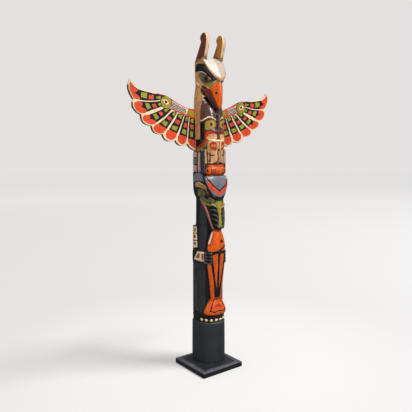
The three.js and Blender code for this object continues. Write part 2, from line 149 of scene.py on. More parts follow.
def levels(rows, cut, step=3.0):
    """A form through level cuts (height, half width, front, middle, rear, squareness)."""
    rows = np.array(rows, float)
    count = max(len(rows), int((rows[-1, 0] - rows[0, 0]) / step) + 1)
    heights = np.unique(np.concatenate([np.linspace(rows[0, 0], rows[-1, 0], count), rows[:, 0]]))
    values = [eased(rows[:, 0], rows[:, k], heights) for k in range(1, 6)]
    form = bmesh.new()
    bmesh.ops.create_cone(
        form, cap_ends=True, segments=CUT_POINTS, radius1=1, radius2=1, depth=1
    )
    upright = [e for e in form.edges if abs(e.verts[0].co.z - e.verts[1].co.z) > 0.5]
    bmesh.ops.subdivide_edges(form, edges=upright, cuts=len(heights) - 2, use_grid_fill=True)
    for v in form.verts:
        level = round((v.co.z + 0.5) * (len(heights) - 1))
        turn = math.atan2(v.co.x, -v.co.y)
        x, y = cut(min(abs(turn) / math.pi, 1), *[value[level] for value in values])
        v.co = (math.copysign(x, turn) * MM, y * MM, heights[level] * MM)
    add_to_carving(form)


def log_levels(rows, **more):
    """Rows of (height, half width, front) and, where they differ, squareness, middle and rear."""
    usual = (2.0, LOG_MIDDLE_Y, LOG_BACK_Y)
    full = []
    for z, half, front, *own in rows:
        squareness, middle, rear = (*own, *usual[len(own):])
        full.append((z, half, front, middle, rear, squareness))
    levels(full, log_cut, **more)


def oval_levels(rows, squareness=None, **more):
    """Rows of (height, half width, front, rear) and, where all don't share one, squareness."""
    full = [(r[0], r[1], r[2], 0, r[3], r[4] if len(r) > 4 else squareness) for r in rows]
    levels(full, oval_cut, **more)


def swelling(centre, radii, tilt=0.0, turn=0.0):
    """A rounded swelling, tilted about the X axis and then turned about the Z axis."""
    form = bmesh.new()
    place = (
        Matrix.Translation(Vector(centre) * MM)
        @ Matrix.Rotation(turn, 4, "Z")
        @ Matrix.Rotation(tilt, 4, "X")
        @ Matrix.Diagonal((*[r * MM for r in radii], 1))
    )
    bmesh.ops.create_icosphere(form, subdivisions=4, radius=1, matrix=place)
    add_to_carving(form)


def block(centre, halves, ease, turn=0.0):
    """A block with rounded edges, turned about the Z axis."""
    form = bmesh.new()
    bmesh.ops.create_cube(form, size=2, matrix=Matrix.Diagonal((*[h * MM for h in halves], 1)))
    bmesh.ops.bevel(form, geom=form.edges[:], offset=ease * MM, segments=4, **EASED)
    place = Matrix.Translation(Vector(centre) * MM) @ Matrix.Rotation(turn, 4, "Z")
    bmesh.ops.transform(form, matrix=place, verts=form.verts)
    add_to_carving(form)


def through(points, steps=8):
    """Points along a smooth line through the given ones."""
    spots = [Vector(p) for p in points]
    spots = [2 * spots[0] - spots[1], *spots, 2 * spots[-1] - spots[-2]]
    line = []
    for a, b, c, d in zip(spots, spots[1:], spots[2:], spots[3:]):
        for k in range(steps):
            t = k / steps
            line.append(
                0.5 * (2 * b + (c - a) * t + (2 * a - 5 * b + 4 * c - d) * t**2
                       + (3 * b - a - 3 * c + d) * t**3)
            )
    return line + [spots[-2]]


def bead(points, radius, thin=1.0):
    """A round bead of wood along a line, such as a brow or a lip, thinner at its far end."""
    line = through(points)
    curve = bpy.data.curves.new("bead", "CURVE")
    curve.dimensions = "3D"
    curve.bevel_depth = radius * MM
    curve.bevel_resolution = 5
    curve.use_fill_caps = True
    spline = curve.splines.new("POLY")
    spline.points.add(len(line) - 1)
    for i, (spot, at) in enumerate(zip(spline.points, line)):
        spot.co = (*(at * MM), 1)
        spot.radius = 1 + (thin - 1) * i / (len(line) - 1)
    piece = bpy.data.objects.new("bead", curve)
    mesh = piece.to_mesh()
    form = bmesh.new()
    form.from_mesh(mesh)
    piece.to_mesh_clear()
    bpy.data.objects.remove(piece)
    bpy.data.curves.remove(curve)
    bmesh.ops.remove_doubles(form, verts=form.verts, dist=1e-6)
    add_to_carving(form)


def bent(start, control, end, steps=10):
    """Points along a bent line from start to end, without the start."""
    a, b, c = (Vector(p) for p in (start, control, end))
    return [
        a * (1 - t) ** 2 + b * 2 * t * (1 - t) + c * t * t
        for t in (k / steps for k in range(1, steps + 1))
    ]


def plank(outline, thickness, ease):
    """A flat plank given by its outline, from z = 0 up to its thickness, with eased edges."""
    form = bmesh.new()
    corners = [form.verts.new((p[0], p[1], 0)) for p in outline]
    face = form.faces.new(corners)
    raised = bmesh.ops.extrude_face_region(form, geom=[face])["geom"]
    tops = [g for g in raised if isinstance(g, bmesh.types.BMVert)]
    bmesh.ops.translate(form, verts=tops, vec=(0, 0, thickness))
    rims = [e for e in form.edges if abs(e.verts[0].co.z - e.verts[1].co.z) < 1e-6]
    if ease:
        bmesh.ops.bevel(form, geom=rims, offset=ease, segments=3, **EASED)
    return form


def on_side(side, *points):
    """Points drawn for the right side, put on the side asked for."""
    return [(side * x, *rest) for x, *rest in points]


def claw_place(turn):
    return -49 * math.cos(turn), LOG_MIDDLE_Y - 48.6 * math.sin(turn), 179.6


# Forms of the log, from the ground up

def log_body():
    log_levels([
        (19.3, 54.5, -44.5), (168.5, 53, -43), (169.5, 52.5, -42.4), (172.5, 49, -38),
        (198, 49, -36), (204, 50, -24, 2.2), (380, 50, -22, 2.2), (440, 47, -20, 2.2),
        (514, 43, -20, 2.2), (532, 36, -18, 2.2), (624, 35, -20, 2.2), (640, 43, -26, 2.4),
        (664, 48, -28, 2.4), (716, 49, -28, 2.4), (722, 47, -24, 2.4), (790, 47, -24, 2.4),
        (796, 44.5, -4, 6), (968, 44.5, -4, 6), (990, 43, 2, 4), (1012, 39.6, 5, 3),
        (1030, 37, 8, 2.4),
    ])


def foot_ring():
    log_levels([(184, 46, -32), (186.5, 49.8, -40.2), (191, 50.8, -41.6), (195.5, 49.8, -40.2),
                (199, 46, -34)], step=1.0)
    for turn in CLAW_TURNS:
        swelling(claw_place(turn), (5.6, 4.4, 4.6), turn=math.pi / 2 - turn)


def salmon():
    log_levels([
        (198, 49, -40, 2.1, -10, 0), (206, 50, -42, 2.1, -12, 0), (218, 46, -41, 2.1, -14, 0),
        (236, 37, -36, 2.1, -18, 0), (253, 28, -30, 2.1, -20, 0), (262, 28, -31, 2.1, -21, 0),
        (330, 33, -36, 2.1, -21, 0), (405, 40, -40, 2.1, -21, 0), (441, 40, -42, 2.1, -21, 0),
        (470, 36, -42, 2.1, -21, 0), (498, 27, -40, 2.1, -21, 0), (518, 16, -34, 2.1, -20, 0),
    ])
    bead([(-34, -30, 434), (-20, -37, 431), (0, -42, 437), (20, -37, 452), (34, -30, 468)], 2.4)


def arm(side):
    block((side * 44, 41.5, 480), (6.5, 12, 46), 2.5)
    for z in (394, 405.6, 417.2, 428.8):
        bead(on_side(side, (42, -10, z), (39, -23, z), (28, -36, z)), 6.2, 0.9)


def arms():
    log_levels([(388, 49, -20), (391, 51.4, -23.4), (411, 52.2, -24.2), (431, 51.4, -23.4),
                (436, 48, -20)], step=1.5)
    for side in (-1, 1):
        arm(side)


def bear_side(side):
    swelling((side * 43, 20, 684), (8, 28, 34))
    bead(on_side(side, (49, 30, 674), (49, 12, 682), (46, -10, 676), (37, -27, 655),
                 (18, -40, 632)), 5.8, 0.75)
    swelling((side * 30, -4, 645), (14, 27, 22))
    swelling((side * 37, -16, 638), (6, 15, 9), 0.45, -side * 0.75)
    bead(on_side(side, (44, 14, 626), (42, -8, 604), (37, -22, 570), (30, -30, 540),
                 (22, -36, 517)), 4)
    for i in range(5):
        z, reach = 606 - i * 18, 29 - i * 1.9
        bead(on_side(side, (reach, -20, z - 8), (reach - 1, -33, z),
                     (reach - 9, -43 - i * 0.8, z - 4), (9, -43 - i, z - 14)), 3.4, 0.7)


def bear_head():
    oval_levels([
        (622, 6, -41, -20, 2.6), (626, 16, -44, -16, 2.6), (640, 31, -44, -4, 2.6),
        (656, 41, -43.5, 4, 2.8), (674, 49, -43, 10, 3), (692, 50, -41, 10, 3),
        (704, 49, -38, 10, 3), (709, 44, -33, 8, 3),
    ])
    oval_levels([
        (511, 9, -40, -10), (517, 18, -46, 0), (540, 21.5, -47, 4), (575, 24.5, -44, 4),
        (610, 30, -39, 4), (632, 36, -36, 4),
    ], 2.6)
    oval_levels([
        (505, 22, -37, 20), (518, 26, -39, 24), (540, 33, -38, 26), (570, 39, -34, 28),
        (604, 43, -31, 30), (632, 44, -28, 30),
    ], 2.6)
    for side in (-1, 1):
        bear_side(side)


def middle_side(side):
    for z, half_height, half_width, front in (
        (816, 13, 14.5, -36), (792, 10.5, 13.5, -34), (769, 12, 13.5, -34.5)
    ):
        block((side * 8, front + 16, z), (half_width, 18, half_height), 2.8, side * 0.5)
    bead(on_side(side, (43, 8, 903), (38, -9, 910), (25, -22, 919), (12, -27, 914),
                 (5, -29, 904)), 3.5)
    swelling((side * 24, -20, 890), (12, 5, 13), 0, side * 0.6)
    bead(on_side(side, (40, -7, 840), (36, -18, 856), (26, -28, 867), (12, -33, 867),
                 (0, -34, 864)), 4)
    bead(on_side(side, (38, -12, 833), (26, -29, 832), (12, -37, 831), (0, -38, 831)), 3.5)
    bead(on_side(side, (38, -14, 838), (42, 2, 826), (44, 16, 814), (44, 30, 806)), 5)
    bead(on_side(side, (37, -18, 828), (43, 0, 811), (45, 16, 801), (45, 30, 797)), 5.5)
    block((side * 43, -7, 762), (6.5, 10.5, 42), 2.4)
    block((side * 43, 18, 764), (6.5, 5, 34), 2.4)
    for i in range(3):
        block((side * 43, 44, 735 + i * 24), (6, 9.5, 11), 2.4)


def middle_figure():
    oval_levels([
        (713, 38, -34, 21), (718, 42, -39.5, 21), (728, 43, -41, 21), (737, 41, -38.5, 21),
        (741, 36, -33, 21), (756, 36, -33, 21),
    ], 3, step=1.5)
    log_levels([
        (786, 39, -22, 3.4, 4), (815, 42.5, -34, 3, 4), (838, 42.5, -36, 3, 4),
        (872, 42.5, -32, 2.7, 4), (916, 42.5, -28, 2.6, 4), (942, 42, -23, 2.5, 4),
        (960, 40, -14, 2.3, 4), (974, 35, -5, 2, 6), (982, 28, 2, 2, 8),
    ])
    block((0, -31, 881), (3.7, 9, 45), 1.6)
    for side in (-1, 1):
        middle_side(side)


SHIELD_THICKNESS = 12
SHIELD_TOP = 1128
SHIELD_REAR_Y = 4


def shield_top(x, y):
    """The height of the brow shield's upper face, which falls forwards and to its sides."""
    ahead = np.maximum(0, SHIELD_REAR_Y - y)
    return SHIELD_TOP - (1 + 0.0075 * ahead) * ahead - 0.1 * np.abs(x)


def brow_shield():
    half = [(42, 8), (44, -8)]
    half += bent((44, -8), (42, -30), (22, -44)) + bent((22, -44), (8, -52), (0, -52))
    outline = [(p[0] * MM, p[1] * MM) for p in half]
    outline += [(-x, y) for x, y in reversed(outline[:-1])]
    form = plank(outline, SHIELD_THICKNESS * MM, 1.5 * MM)
    bmesh.ops.triangulate(form, faces=form.faces)
    for _ in range(3):
        bmesh.ops.subdivide_edges(form, edges=form.edges, cuts=1, use_grid_fill=True)
        bmesh.ops.triangulate(form, faces=form.faces)
    for v in form.verts:
        v.co.z += (float(shield_top(v.co.x / MM, v.co.y / MM)) - SHIELD_THICKNESS) * MM
    add_to_carving(form)


HORN_THICKNESS = 16
HORN_MIDDLE_X = 36.5


def horn(side):
    profile = [Vector((-2, 1112))]
    for control, end in (
        ((-16, 1146), (-21, 1172)), ((-23, 1194), (-14, 1203)), ((-4, 1210), (8, 1202)),
        ((20, 1194), (14, 1184)), ((9, 1178), (13, 1172)), ((26, 1148), (44, 1118)),
    ):
        profile += bent(profile[-1], control, end)
    profile += [Vector((46, 1104)), Vector((2, 1096))]
    form = plank([p * MM for p in profile], HORN_THICKNESS * MM, 1.5 * MM)
    inner_x = side * HORN_MIDDLE_X - HORN_THICKNESS / 2
    for v in form.verts:
        v.co = (v.co.z + inner_x * MM, v.co.x, v.co.y)
    add_to_carving(form)


def bird_head():
    log_levels([
        (1008, 37, 4, 2, 18, 54), (1020, 38, -16, 2, 18, 53), (1034, 39, -29, 2, 18, 52),
        (1050, 40.5, -36, 2, 18, 52), (1072, 41.5, -27, 2, 18, 52), (1096, 42, -9, 2, 18, 52),
        (1114, 42, 3, 2, 20, 51), (1124, 40, 10, 2, 24, 44),
    ])
    oval_levels([  # the beak
        (937, 4, -36, -26), (942, 8, -43, -22), (954, 14, -50.5, -10), (974, 23, -52.5, 12),
        (996, 30, -52, 34), (1016, 34.5, -49.5, 40), (1034, 36, -46, 42), (1048, 34, -40, 40),
    ], 1.4)
    brow_shield()
    for side in (-1, 1):
        bead(on_side(side, (38, 44, 1079), (38, 32, 1093), (38, 14, 1096), (34, -6, 1083),
                     (26, -22, 1062), (15, -33, 1045)), 7.5, 0.8)
        swelling((side * 36, -8, 1051), (6, 19, 9.5), 0.35, -side * 0.42)
        bead(on_side(side, (38, 20, 1026), (36, 5, 1014), (29, -9, 992), (20, -20, 968),
                     (10, -28, 948)), 4)
        horn(side)


log_body()
foot_ring()
salmon()
arms()
bear_head()
middle_figure()
bird_head()


# Painted shapes: the paint, the kind of shape, how rounded its corners are or half how wide it is,
# and the outlines or lines that are painted so. On the wings a point is a distance from the pole's
# middle and a height. On the log it is a length round the log from the front's middle, the same on
# both sides, and a height.
WHITE_PATCH = [(156, 956), (150, 968), (121, 956), (87, 944), (90, 925), (121, 934), (152, 943)]
WING_SHAPES = [
    ("navy", "wide", 0,
     [(282, 1003), (265, 996), (248, 991), (224, 987), (200, 988), (179, 984), (190, 974),
      (200, 970), (230, 965), (256, 963), (274, 964), (281, 974), (289, 980), (302, 986),
      (290, 990), (281, 995)],
     [(268, 959), (243, 959), (214, 962), (192, 964), (184, 951), (203, 944), (225, 937),
      (251, 927), (254, 933), (263, 938), (276, 939), (266, 949)],
     [(239, 916), (214, 925), (187, 937), (171, 945), (152, 939), (156, 935), (171, 922),
      (190, 907), (211, 895), (225, 902), (242, 901), (236, 909)],
     [(203, 887), (177, 905), (147, 931), (129, 932), (131, 926), (152, 898), (171, 874),
      (191, 879)],
     [(159, 870), (149, 884), (129, 911), (122, 926), (96, 922), (99, 914), (112, 888),
      (128, 859), (145, 862)],
     [(117, 852), (107, 881), (96, 909), (93, 919), (76, 916), (78, 889), (86, 846), (104, 850)],
     [(78, 840), (75, 877), (71, 914), (51, 913), (48, 902), (49, 835), (63, 837)]),
    ("orange_red", "wide", 1,
     [(314, 1025), (302, 1017), (290, 1009), (281, 1002), (282, 995), (290, 990), (299, 987),
      (289, 980), (279, 975), (274, 967), (285, 966), (297, 970), (306, 981), (311, 993),
      (314, 1006), (315, 1017)],
     [(295, 953), (284, 958), (268, 959), (266, 949), (274, 939), (263, 938), (252, 931),
      (251, 927), (261, 922), (274, 923), (287, 930), (294, 941)],
     [(266, 907), (256, 914), (240, 916), (237, 909), (242, 901), (227, 901), (212, 895),
      (215, 890), (231, 886), (249, 890), (262, 899)],
     [(224, 873), (215, 883), (203, 887), (191, 880), (173, 873), (177, 862), (191, 857),
      (210, 860), (222, 867)],
     [(173, 854), (168, 865), (159, 869), (145, 862), (130, 859), (132, 847), (141, 839),
      (155, 836), (169, 842)],
     [(123, 842), (120, 851), (107, 851), (88, 846), (89, 834), (97, 823), (110, 822),
      (121, 831)],
     [(78, 832), (77, 840), (63, 837), (49, 835), (48, 808), (60, 813), (72, 821)]),
    ("lime", "patch", 0,
     [(269, 990), (246, 989), (248, 969), (271, 974)],
     [(256, 954), (241, 956), (231, 940), (247, 934)],
     [(226, 919), (213, 924), (200, 909), (213, 901)],
     [(191, 892), (180, 902), (163, 894), (174, 880)],
     [(151, 874), (144, 886), (122, 881), (129, 865)],
     [(108, 860), (103, 875), (86, 871), (90, 854)],
     [(71, 848), (70, 869), (57, 866), (58, 847)]),
    ("orange_red", "patch", 0,
     [(240, 983), (220, 984), (222, 968), (241, 969)],
     [(230, 953), (215, 956), (207, 944), (222, 940)],
     [(204, 928), (192, 932), (181, 923), (193, 915)],
     [(170, 908), (162, 917), (148, 911), (156, 900)],
     [(137, 896), (130, 907), (112, 902), (120, 887)],
     [(100, 881), (95, 897), (83, 895), (86, 878)],
     [(70, 875), (69, 892), (54, 889), (56, 873)]),
    ("lime", "patch", 0,
     [(212, 980), (192, 982), (194, 973), (210, 973)],
     [(205, 956), (195, 960), (190, 953), (200, 949)],
     [(183, 937), (165, 943), (157, 941), (173, 929)],
     [(148, 922), (140, 932), (131, 930), (139, 917)],
     [(123, 916), (118, 925), (102, 923), (108, 908)],
     [(91, 905), (88, 918), (80, 916), (83, 901)],
     [(69, 900), (67, 912), (54, 910), (55, 896)]),
    ("orange_red", "patch", 0, [(87, 920), (83, 936), (77, 945), (42, 945), (40, 914), (48, 912)]),
    ("lime", "field", 2,
     [(83, 924), (79, 938), (74, 942), (54, 941), (50, 917), (63, 920), (71, 922)]),
    ("white", "field", 0, WHITE_PATCH),
    ("orange_red", "line", 2.4, [(152, 943), (126, 934), (106, 928), (86, 923), (48, 913)]),
    ("cream", "line", 1.75,
     [(300, 961), (281, 963), (256, 961), (230, 962), (203, 966), (192, 968)],
     [(276, 913), (256, 920), (230, 929), (203, 939), (184, 947)],
     [(231, 877), (215, 887), (193, 902), (171, 917), (149, 935)],
     [(180, 859), (160, 879), (144, 900), (125, 927)],
     [(129, 845), (115, 876), (104, 900), (96, 920)],
     [(84, 832), (79, 877), (74, 915)]),
]
EYE_SHAPES = [
    ("orange_red", "field", 2,
     [(188, 973), (177, 977), (164, 972), (156, 957), (171, 951), (184, 959)]),
    ("cream", "field", 2, [(186, 971), (176, 974), (165, 970), (159, 958), (171, 954), (182, 960)]),
    ("navy", "spot", 5, [(172, 964)]),
]
# The red line runs along the very edge of the board, from its root to past the eye.
TOP_LINE = [
    ("orange_red", "line", 3.6,
     [(206, 992), (177, 988), (148, 975), (120, 962), (92, 952), (62, 948), (40, 947)]),
]
# On the right wing the green patch at the root is longer.
RIGHT_ROOT = [
    ("orange_red", "field", 0, [(40, 913), (106, 930), (102, 955), (42, 947)]),
    ("lime", "field", 2, [(50, 917), (98, 931), (95, 949), (54, 943)]),
]
RIGHT_HATCH_START = 105
BARE_FIELDS = [
    ("charcoal", "field", 0,
     [(-20, 10), (-20, 171), (130, 171), (130, 10)],
     [(56, 205), (56, 386), (130, 386), (130, 205)]),
    ("grey", "line", 1.3, [(89, 372), (95, 372)]),
    ("charcoal", "field", 0, [(56, 436), (50, 520), (60, 640), (98, 640), (98, 436)]),
    ("dark_brown", "field", 0,
     [(-20, 990), (70, 990), (86, 940), (86, 836), (62, 830), (62, 850), (-20, 860)]),
    ("black", "field", 0, [(62, 900), (86, 900), (86, 836), (60, 836)]),
    ("tan", "field", 0,
     [(-30, 1160), (-30, 1000), (36, 984), (60, 983), (68, 982), (72, 968), (81, 950), (84, 928),
      (84.5, 839), (170, 839), (170, 1160)]),
    # Black painted shadow in the recess behind the beak.
    ("black", "field", 1, [(-20, 1012), (44, 1012), (58, 997), (52, 984), (36, 977), (-20, 977)]),
]
BIRD_HEAD = [
    ("olive_brown", "field", 2,
     [(98, 1067), (90, 1074), (72, 1073), (52, 1064), (37, 1052), (27, 1040), (21, 1033),
      (21, 1023), (26, 1019), (38, 1020), (58, 1029), (80, 1037), (93, 1054)]),
    ("cream", "field", 1,
     [(104, 1077), (85, 1079), (65, 1074), (36, 1055), (27, 1042), (30, 1041), (42, 1054),
      (68, 1070), (87, 1075)]),
    ("khaki", "field", 2,
     [(77, 1069), (52, 1061), (37, 1049), (31, 1038), (44, 1035), (61, 1046), (71, 1057)]),
    ("moss", "field", 2,
     [(79, 1035), (58, 1033), (41, 1029), (28, 1035), (20, 1031), (24, 1020), (36, 1018),
      (64, 1027)]),
    # A small pale patch below and behind the eye: a painted highlight.
    ("cream", "field", 1, [(115, 1045), (105, 1040), (94, 1030), (101, 1028), (111, 1036)]),
    ("black", "wide", 2,
     [(115, 1091), (108, 1102), (86, 1103), (66, 1098), (48, 1085), (34, 1071), (18, 1051),
      (21, 1040), (26, 1043), (36, 1053), (58, 1070), (79, 1078), (98, 1080), (111, 1078)]),
    # Dark brown painted shadow on the jaw under the beak.
    ("umber", "field", 1,
     [(90, 1019), (80, 1017), (57, 999), (37, 984), (61, 983), (71, 991), (87, 1007)]),
    ("maroon", "field", 1,
     [(84, 1028), (64, 1025), (37, 1011), (21, 988), (9, 958), (0, 939), (8, 945), (26, 963),
      (37, 982), (57, 999), (80, 1017)]),
    ("orange", "field", 1,
     [(19, 1033), (-8, 1033), (-8, 1001), (-8, 962), (-8, 943), (0, 939), (8, 952), (18, 977),
      (30, 1005), (46, 1021), (26, 1019)]),
    # Black painted shadow in the gap between the beak and the forehead below it.
    ("black", "field", 1, [(60, 981), (37, 984), (22, 963), (8, 945), (26, 956), (52, 971)]),
    ("black", "spot", 4, [(14, 998)]),
    ("umber", "spot", 10.5, [(52, 1050)]),
    ("black", "spot", 7.2, [(52, 1050)]),
    ("drab", "field", 2,
     [(125, 1134), (46, 1134), (54, 1104), (66, 1104), (86, 1109), (110, 1108), (118, 1098)]),
]
MIDDLE_FIGURE = [
    ("yellow_olive", "field", 2,
     [(58, 884), (54, 899), (44, 904), (28, 905), (13, 902), (6, 895), (8, 884), (23, 878),
      (43, 870), (54, 871)]),
    ("amber", "field", 2,
     [(46, 890), (36, 899), (22, 899), (13, 893), (20, 884), (33, 882), (42, 884)]),
    ("cream", "field", 1,
     [(85, 907), (70, 906), (57, 913), (41, 919), (28, 919), (15, 911), (9, 907), (10, 903),
      (19, 909), (33, 914), (48, 912), (62, 905), (74, 901), (85, 903)]),
    ("sand", "field", 1,
     [(52, 844), (48, 850), (41, 856), (10, 856), (-13, 856), (-10, 838), (11, 838), (50, 840)]),
    ("red", "field", 1,
     [(59, 843), (58, 855), (48, 865), (38, 867), (12, 866), (-8, 866), (-13, 856), (10, 856),
      (40, 856), (49, 848), (53, 839)]),
    ("leg_tan", "field", 0, [(48, 828), (43, 834), (-8, 832), (-8, 751), (48, 752), (50, 793)]),
    ("cream", "field", 1,
     [(47, 840), (24, 839), (-8, 838), (-8, 838), (-8, 831), (-8, 832), (24, 833), (43, 836)]),
    ("moss", "field", 1,
     [(103, 803), (78, 804), (62, 812), (51, 828), (43, 834), (44, 823), (55, 806), (64, 795),
      (98, 795)]),
    ("red", "field", 1,
     [(44, 840), (54, 838), (66, 827), (80, 815), (103, 810), (103, 803), (79, 804), (66, 810),
      (54, 826), (44, 834)]),
    ("leg_tan", "field", 0, [(53, 802), (50, 804), (48, 753), (53, 753)]),
    ("red", "field", 2,
     [(39, 819), (36, 825), (32, 828), (15, 827), (11, 824), (11, 805), (13, 802), (32, 803),
      (37, 807)]),
    ("lime", "patch", 0, [(31, 820), (15, 819), (15, 811), (31, 811)]),
    ("black", "field", 1,
     [(42, 786), (32, 783), (18, 783), (17, 780), (29, 778), (41, 782)],
     [(44, 803), (29, 800), (14, 800), (14, 799), (29, 798), (43, 800)],
     [(48, 756), (31, 753), (13, 756), (1, 753), (1, 748), (16, 750), (31, 749), (48, 751)]),
    ("orange", "field", 0,
     [(51, 748), (-8, 748), (-8, 737), (44, 736)],
     [(52, 710), (51, 734), (44, 737), (-8, 737), (-8, 710)]),
    ("umber", "field", 1, [(48, 733), (42, 733), (39, 727), (42, 722), (46, 722), (47, 717)]),
    ("pink_grey", "patch", 0, [(121, 795), (99, 795), (100, 774), (121, 774)]),
    ("moss_grey", "patch", 0, [(120, 771), (100, 772), (100, 749), (122, 749)]),
    ("pink_grey", "patch", 0, [(122, 746), (100, 746), (100, 722), (121, 721)]),
    ("pink_grey", "field", 1, [(91, 792), (79, 792), (78, 722), (94, 721)]),
    ("charcoal", "field", 0, [(78, 795), (55, 794), (58, 713), (73, 712)]),
    ("dark_brown", "field", 0, [(-7, 930), (7, 930), (7, 837), (-7, 837)]),
    # Black painted shadow over the log between the beak and the forehead.
    ("black", "field", 1,
     [(74, 986), (30, 992), (4, 980), (4, 941), (11, 941), (22, 950), (40, 959), (58, 970)]),
    ("black", "line", 1.4, [(3, 801), (7, 792), (6, 774), (9, 755)]),
    ("black", "line", 1.3, [(46, 826), (48, 800), (47, 756)]),
    ("black", "line", 1.0, [(11, 801), (24, 799), (40, 801)]),
    ("umber", "line", 1.9, [(30, 733), (29, 715)], [(23, 733), (22, 715)]),
    ("umber", "line", 1.8, [(16, 733), (15, 715)]),
    ("umber", "line", 1.6, [(-3, 734), (-3, 715)]),
    ("moss_grey", "spot", 7, [(31, 890)]),
    ("black", "spot", 4.8, [(31, 890)]),
    ("umber", "line", 1.0, *[[(u, 856), (u, 846)] for u in (15, 22, 29, 36, 43)]),
]
BEAR_HEAD = [
    ("grey", "field", 2,
     [(120, 706), (106, 718), (80, 719), (64, 708), (57, 689), (75, 688), (95, 688), (109, 684),
      (121, 687)]),
    ("olive_brown", "field", 2,
     [(96, 658), (76, 664), (50, 651), (29, 634), (15, 626), (18, 614), (22, 608), (34, 612),
      (59, 618), (79, 626), (96, 640)]),
    ("moss", "field", 1,
     [(96, 651), (81, 628), (54, 614), (30, 606), (5, 600), (7, 593), (29, 599), (58, 607),
      (84, 620), (102, 640)]),
    ("khaki", "field", 2, [(69, 648), (50, 645), (34, 630), (28, 623), (44, 621), (61, 633)]),
    ("tan", "field", 1,
     [(111, 675), (104, 684), (82, 688), (67, 683), (47, 672), (38, 654), (20, 635), (23, 631),
      (34, 636), (50, 651), (66, 664), (84, 668), (104, 667)]),
    ("black", "line", 2.2, [(20, 632), (34, 634), (50, 649), (66, 662), (84, 666), (106, 665)]),
    ("black", "line", 1.8, [(16, 634), (34, 655), (45, 674), (66, 685), (82, 690), (104, 687)]),
    ("grey", "field", 1,
     [(55, 704), (45, 709), (-6, 708), (-4, 624), (7, 625), (26, 639), (40, 661), (47, 683)]),
    ("black", "field", 1,
     [(49, 684), (45, 682), (40, 664), (26, 643), (8, 634), (-9, 633), (-9, 616), (9, 616),
      (31, 630), (46, 655)]),
    ("orange_red", "field", 1,
     [(45, 697), (36, 686), (23, 669), (8, 654), (-8, 651), (-8, 642), (5, 642), (25, 651),
      (38, 668), (43, 682)]),
    ("yellow_olive", "field", 1,
     [(12, 620), (-6, 620), (1, 522), (7, 523), (5, 574), (10, 592), (22, 601), (36, 606),
      (34, 612), (22, 609), (14, 612)]),
    ("lip_brown", "field", 1,
     [(86, 618), (73, 621), (51, 601), (38, 570), (25, 517), (29, 516), (44, 555), (61, 592),
      (80, 608)]),
    ("cream", "patch", 0, [(119, 521), (100, 521), (100, 499), (119, 497)]),
    ("moss", "patch", 0, [(115, 514), (102, 516), (102, 504), (115, 502)]),
    ("cream", "patch", 0, [(119, 494), (100, 496), (99, 473), (119, 471)]),
    ("red", "patch", 0, [(117, 490), (103, 492), (103, 479), (117, 477)]),
    ("cream", "patch", 0, [(119, 467), (99, 470), (97, 445), (119, 442)]),
    ("moss", "patch", 0, [(115, 463), (102, 465), (102, 454), (116, 452)]),
    ("black", "line", 2.1, [(47, 703), (38, 691), (24, 673), (2, 656), (-4, 653)]),
    # Pale streaks at the top left of the grey shield: painted highlights.
    ("white", "line", 1.2,
     [(48, 702), (45, 696)],
     [(42, 704), (38, 697)],
     [(36, 704), (33, 698)]),
    ("white", "line", 1.1, [(30, 703), (28, 699)]),
    ("umber", "spot", 10, [(49, 635)]),
    ("black", "spot", 7.2, [(49, 635)]),
]
SALMON_AND_ARMS = [
    ("orange", "field", 1,
     [(26, 509), (21, 514), (-8, 513), (-8, 439), (-8, 439), (25, 435), (44, 438), (45, 454),
      (34, 483)],
     [(46, 390), (33, 393), (26, 350), (19, 310), (17, 261), (32, 262), (40, 335)],
     [(27, 423), (6, 427), (4, 388), (6, 338), (5, 293), (14, 330), (21, 377)],
     [(33, 262), (17, 263), (-8, 260), (-8, 197), (15, 200), (43, 201), (57, 208), (55, 222),
      (44, 250)]),
    ("red", "field", 1, [(-8, 245), (-8, 227), (25, 227)]),
    ("charcoal", "field", 1,
     [(120, 392), (101, 424), (96, 437), (58, 438), (47, 434), (46, 392), (58, 386), (81, 392),
      (121, 390)]),
    ("cream", "patch", 0, [(113, 399), (93, 432), (61, 433), (58, 397), (78, 398)]),
    ("moss", "patch", 0, [(103, 407), (89, 426), (77, 426), (79, 407)]),
    ("red", "patch", 0, [(71, 427), (63, 426), (64, 403), (70, 404)]),
    ("black", "field", 1, [(47, 437), (27, 436), (27, 392), (46, 394)]),
    ("black", "line", 2.0,
     [(-7, 255), (16, 258), (27, 237), (34, 215), (18, 210), (3, 214), (-6, 214)]),
]
# The fish lies on its side: these are lengths to the left of the front's middle alone.
SALMON_HEAD = [
    ("cream", "field", 1, [(44, 462), (36, 487), (29, 507), (23, 505), (30, 486), (37, 463)]),
    ("red", "field", 1, [(41, 455), (34, 472), (25, 502), (19, 499), (27, 477), (35, 456)]),
    ("red", "line", 0.9, [(36, 452), (28, 463), (23, 475)]),
    ("black", "line", 3.8, [(47, 432), (25, 432), (11, 434), (-6, 440), (-22, 448), (-38, 459)]),
    ("black", "spot", 6.2, [(-12, 471)]),
    ("umber", "spot", 1.8, [(-4, 474)]),
]


def made_into_piece(name, form):
    mesh = bpy.data.meshes.new(name)
    form.to_mesh(mesh)
    form.free()
    piece = bpy.data.objects.new(name, mesh)
    scene.collection.objects.link(piece)
    return piece


def one_skin(name, form, grain, most_triangles, soften, bare=None):
    """Cuts the forms as one skin out of a fine grid, softens its steps, and thins what is bare."""
    piece = made_into_piece(name, form)
    grid = piece.modifiers.new("grid", "REMESH")
    grid.mode = "VOXEL"
    grid.voxel_size = grain * MM
    grid.adaptivity = 0
    smooth = piece.modifiers.new("soften", "SMOOTH")
    smooth.factor = 0.5
    smooth.iterations = soften
    keep_modified(piece)
    triangles = sum(len(p.vertices) - 2 for p in piece.data.polygons)
    if triangles > most_triangles:
        thin = piece.modifiers.new("thin", "DECIMATE")
        thin.ratio = most_triangles / triangles
        if bare:
            group = piece.vertex_groups.new(name="bare")
            group.add(np.flatnonzero(bare(spots_of(piece)[0])).tolist(), 1.0, "REPLACE")
            thin.vertex_group = group.name
        keep_modified(piece)
        piece.vertex_groups.clear()
    piece.data.shade_smooth()
    return piece


